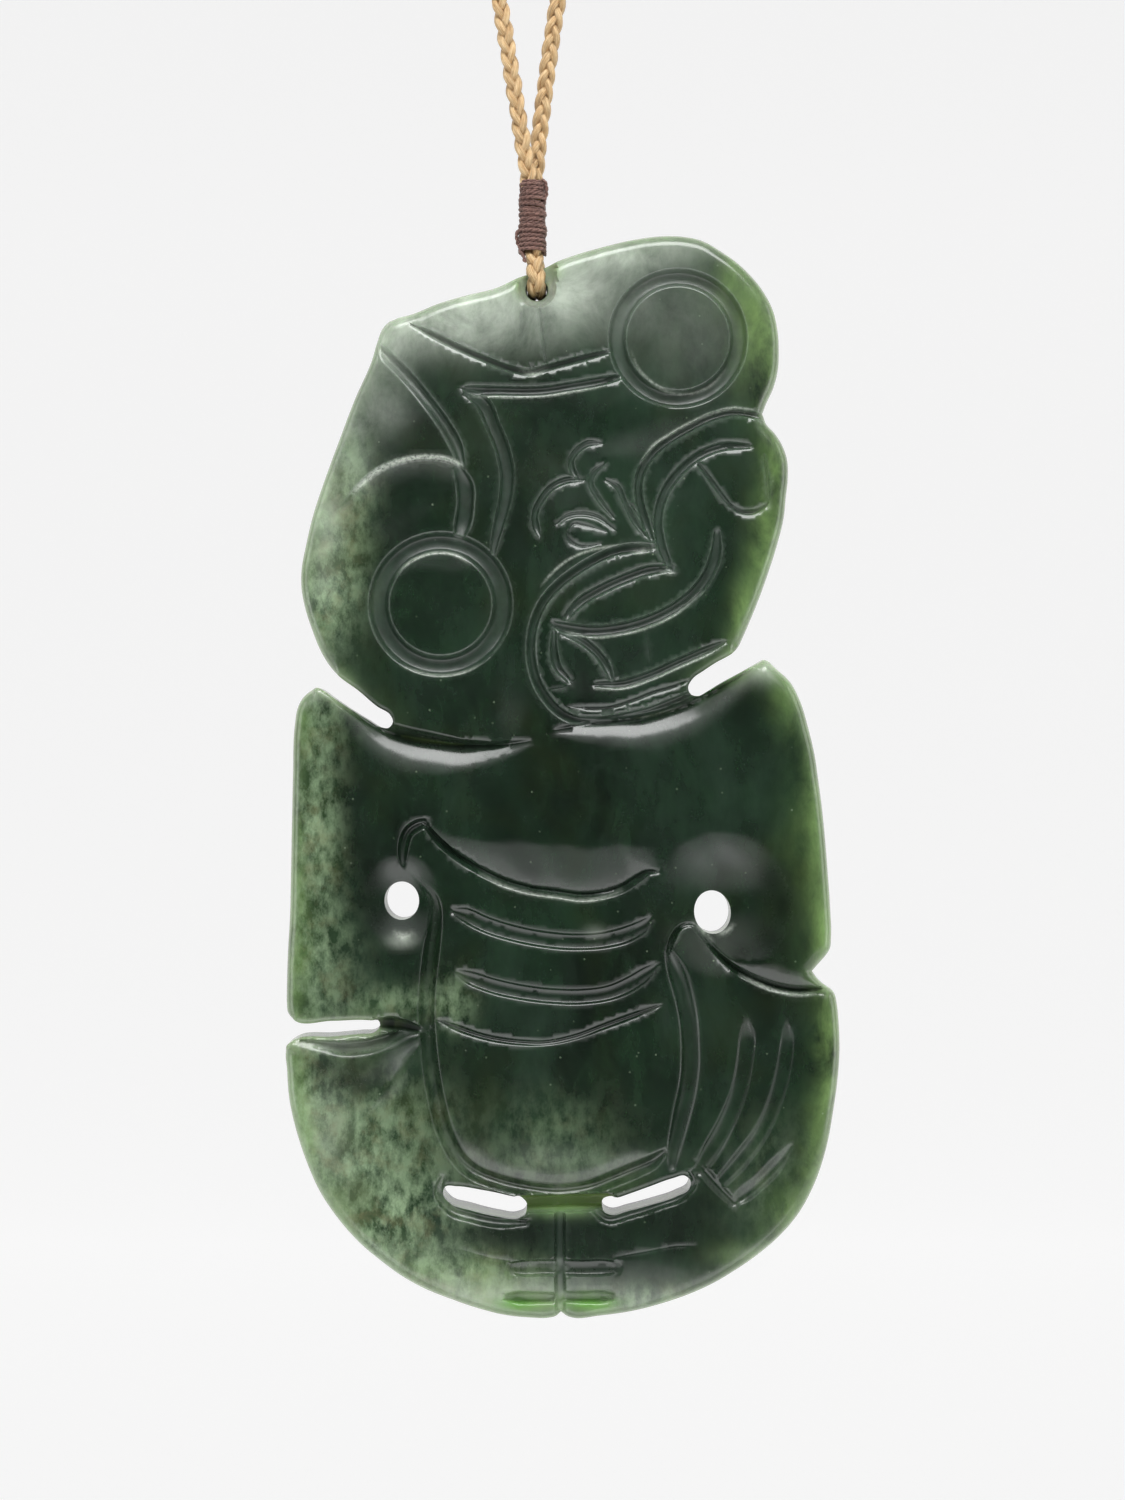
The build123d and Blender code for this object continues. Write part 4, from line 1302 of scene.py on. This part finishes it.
jitter = [[random.uniform(-most, most) for most in JITTER] for turn in range(TURNS + 2)]
winding, under_layer = [], []
for step in range(TURNS * PER_TURN + 1):
    t = step / PER_TURN
    turn, share = int(t), t % 1
    near = [a * (1 - share) + b * share for a, b in zip(jitter[turn], jitter[turn + 1])]
    fuller = FULLER * math.sin(math.pi * min(t / TURNS, 1))
    x, y = round_strands(t, WIND_RADIUS + near[0] + fuller)
    rise = BINDING_TOP - (BINDING_TOP - BINDING_FOOT) * t / TURNS
    lean = near[2] * math.sin(2 * math.pi * share)
    height = min(max(rise + near[1] + lean, BINDING_FOOT), BINDING_TOP)
    winding.append((x + MIDDLE_X, y, height))
    under_layer.append((x * UNDER_X + MIDDLE_X, y * UNDER_Y,
                        min(height + UNDER_LIFT, BINDING_TOP)))
LOOSE_ENDS = [
    # a loop at the upper right, one at the left side, and the tail
    ".5,-1.2,-319.75 .8,-1.35,-319.9 .98,-1.25,-320.35 1.02,-1.1,-320.9 .92,-1,-321.45 "
    ".7,-1.2,-321.7",
    "-1.5,-1.2,-324.6 -1.95,-1,-325 -2.06,-.9,-325.4 -1.95,-.9,-325.9 -1.7,-.9,-326.3",
    "-1.72,-1.1,-326.2 -1.62,-1.4,-326.7 -1.4,-1.6,-327.2 -1.24,-1.8,-327.7 -1.16,-2,-328",
]
thread_lines = [np.array(winding), np.array(under_layer)]
thread_lines += [smooth_run(places(text), THREAD_STEP) for text in LOOSE_ENDS]
thread = lay_strands("binding_thread", [line * MM for line in thread_lines], {
    "Strands": 2, "Ridges": 3, "Step": 0.17 * MM, "Lay": 1.1 * MM, "Weave": 1.0,
    "Half Width": 0.09 * MM, "Half Thickness": 0.09 * MM, "Strand Radius": 0.14 * MM,
    "Ridge Foot": 0.105 * MM, "Finish": waxed_thread})

# %% Place the cord and the binding
for piece, node, slot in ((loop_plait, "neck_cord", "plaited_cord"),
                          (eye_plait, "cord_eye", "plaited_cord"),
                          (thread, "binding", "binding_thread")):
    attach(piece, "cord")
    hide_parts(node)
print("cord, eye and binding are in place")

# %% [markdown]
# ## Floor and light
#
# The photograph has a plain, nearly white background with soft light from above
# and a dark room behind the camera, which is why the flat of the stone stays dark
# while every edge that faces up is bright. Here a wide sheet of white paper lies
# on the floor and curves up behind, as in a photographer's studio. The paper is
# thin and lit from behind too, so it glows a little. In front of the stone the paper
# lies in the dark part of the room, so it sends no light back to the stone.

# %% Paper sweep
FLOOR_Z, FRONT_Y, BACK_Y, TOP_Z = -0.75, -0.6, 3.0, 3.0
BEND, BEND_STEPS = 0.9, 24
HALF_WIDE = 4.0
sweep = [(FRONT_Y, FLOOR_Z), (BACK_Y - BEND, FLOOR_Z)]
for step in range(1, BEND_STEPS):
    a = math.pi / 2 * step / BEND_STEPS
    sweep.append((BACK_Y - BEND + BEND * math.sin(a), FLOOR_Z + BEND - BEND * math.cos(a)))
sweep += [(BACK_Y, FLOOR_Z + BEND), (BACK_Y, TOP_Z)]
paper = bpy.data.materials.new("matt_white_paper")
tree = empty_tree(paper)
sheet = add(tree, "ShaderNodeBsdfPrincipled", {
    "Base Color": colour("#aaaaaa"), "Roughness": 0.9, "Emission Color": (1, 1, 1, 1),
    "Emission Strength": 0.64})
add(tree, "ShaderNodeOutputMaterial", {"Surface": sheet.outputs[0]})
front = [(-HALF_WIDE, FLOOR_Z), (FRONT_Y, FLOOR_Z)]
for name, line in (("paper_sweep", sweep), ("paper_front", front)):
    piece = mesh_piece(name, [(x, y, z) for y, z in line for x in (-HALF_WIDE, HALF_WIDE)],
                       [(k, k + 1, k + 3, k + 2) for k in range(0, 2 * len(line) - 2, 2)])
    piece.data.shade_smooth()
    piece.data.materials.append(paper)
    piece.visible_glossy = piece.visible_diffuse = line is sweep
print("paper from", sweep[0], "to", sweep[-1])

# %% Lights
STONE = (0, 0, -0.38)
LIGHTS = [
    # name, place, width, height and power
    ("overhead", (0.04, -0.25, -0.02), 0.36, 0.24, 2.0),
    ("left_side", (-0.6, -0.02, -0.30), 0.3, 0.6, 0.9),
    ("right_side", (0.6, 0.02, -0.30), 0.3, 0.6, 0.9),
    ("from_below", (0.0, -0.26, -0.66), 0.45, 0.22, 0.35),
]
for name, spot, width, height, power in LIGHTS:
    data = bpy.data.lights.new(name, "AREA")
    data.shape = "RECTANGLE"
    data.size, data.size_y, data.energy = width, height, power
    lamp = link(name, data)
    lamp.location = spot
    lamp.rotation_euler = (Vector(STONE) - Vector(spot)).to_track_quat("-Z", "Y").to_euler()
    lamp.visible_camera = False
print(len(LIGHTS), "soft lights")

# %% The room
world = bpy.data.worlds.new("studio")
bpy.context.scene.world = world
tree = empty_tree(world)
direction = add(tree, "ShaderNodeTexCoord").outputs["Object"]
parts = add(tree, "ShaderNodeSeparateXYZ", {0: direction})
height = add(tree, "ShaderNodeMapRange", {0: parts.outputs[2], 1: -1.0, 2: 1.0})
band = add(tree, "ShaderNodeValToRGB", {0: height.outputs[0]})
HEIGHTS = [
    # sine of the height above the horizon, and how bright the room is there
    (-1.0, .10), (-.75, .15), (-.52, .8), (-.34, .8), (-.20, .03), (.08, .04), (.46, .9),
    (1.0, 1.2),
]
stops = band.color_ramp.elements
for number, (sine, grey) in enumerate(HEIGHTS):
    spot = (sine + 1) / 2
    stop = stops[-1 if number else 0] if number in (0, len(HEIGHTS) - 1) else stops.new(spot)
    stop.position, stop.color = spot, (grey, grey, grey, 1)
sides = add(tree, "ShaderNodeMapRange", {0: parts.outputs[1], 1: -0.75, 2: -0.2})
room = add(tree, "ShaderNodeMix", {
    "Factor": sides.outputs[0], 6: band.outputs[0], 7: (0.35, 0.35, 0.35, 1)}, data_type="RGBA")
straight = add(tree, "ShaderNodeLightPath").outputs["Is Camera Ray"]
room = add(tree, "ShaderNodeMix", {
    "Factor": straight, 6: room.outputs[2], 7: colour("#f2f2f2")}, data_type="RGBA")
light = add(tree, "ShaderNodeBackground", {"Color": room.outputs[2], "Strength": 1.0})
add(tree, "ShaderNodeOutputWorld", {"Surface": light.outputs[0]})
bpy.context.scene.view_settings.view_transform = "Standard"
print("room of", len(tree.nodes), "nodes")
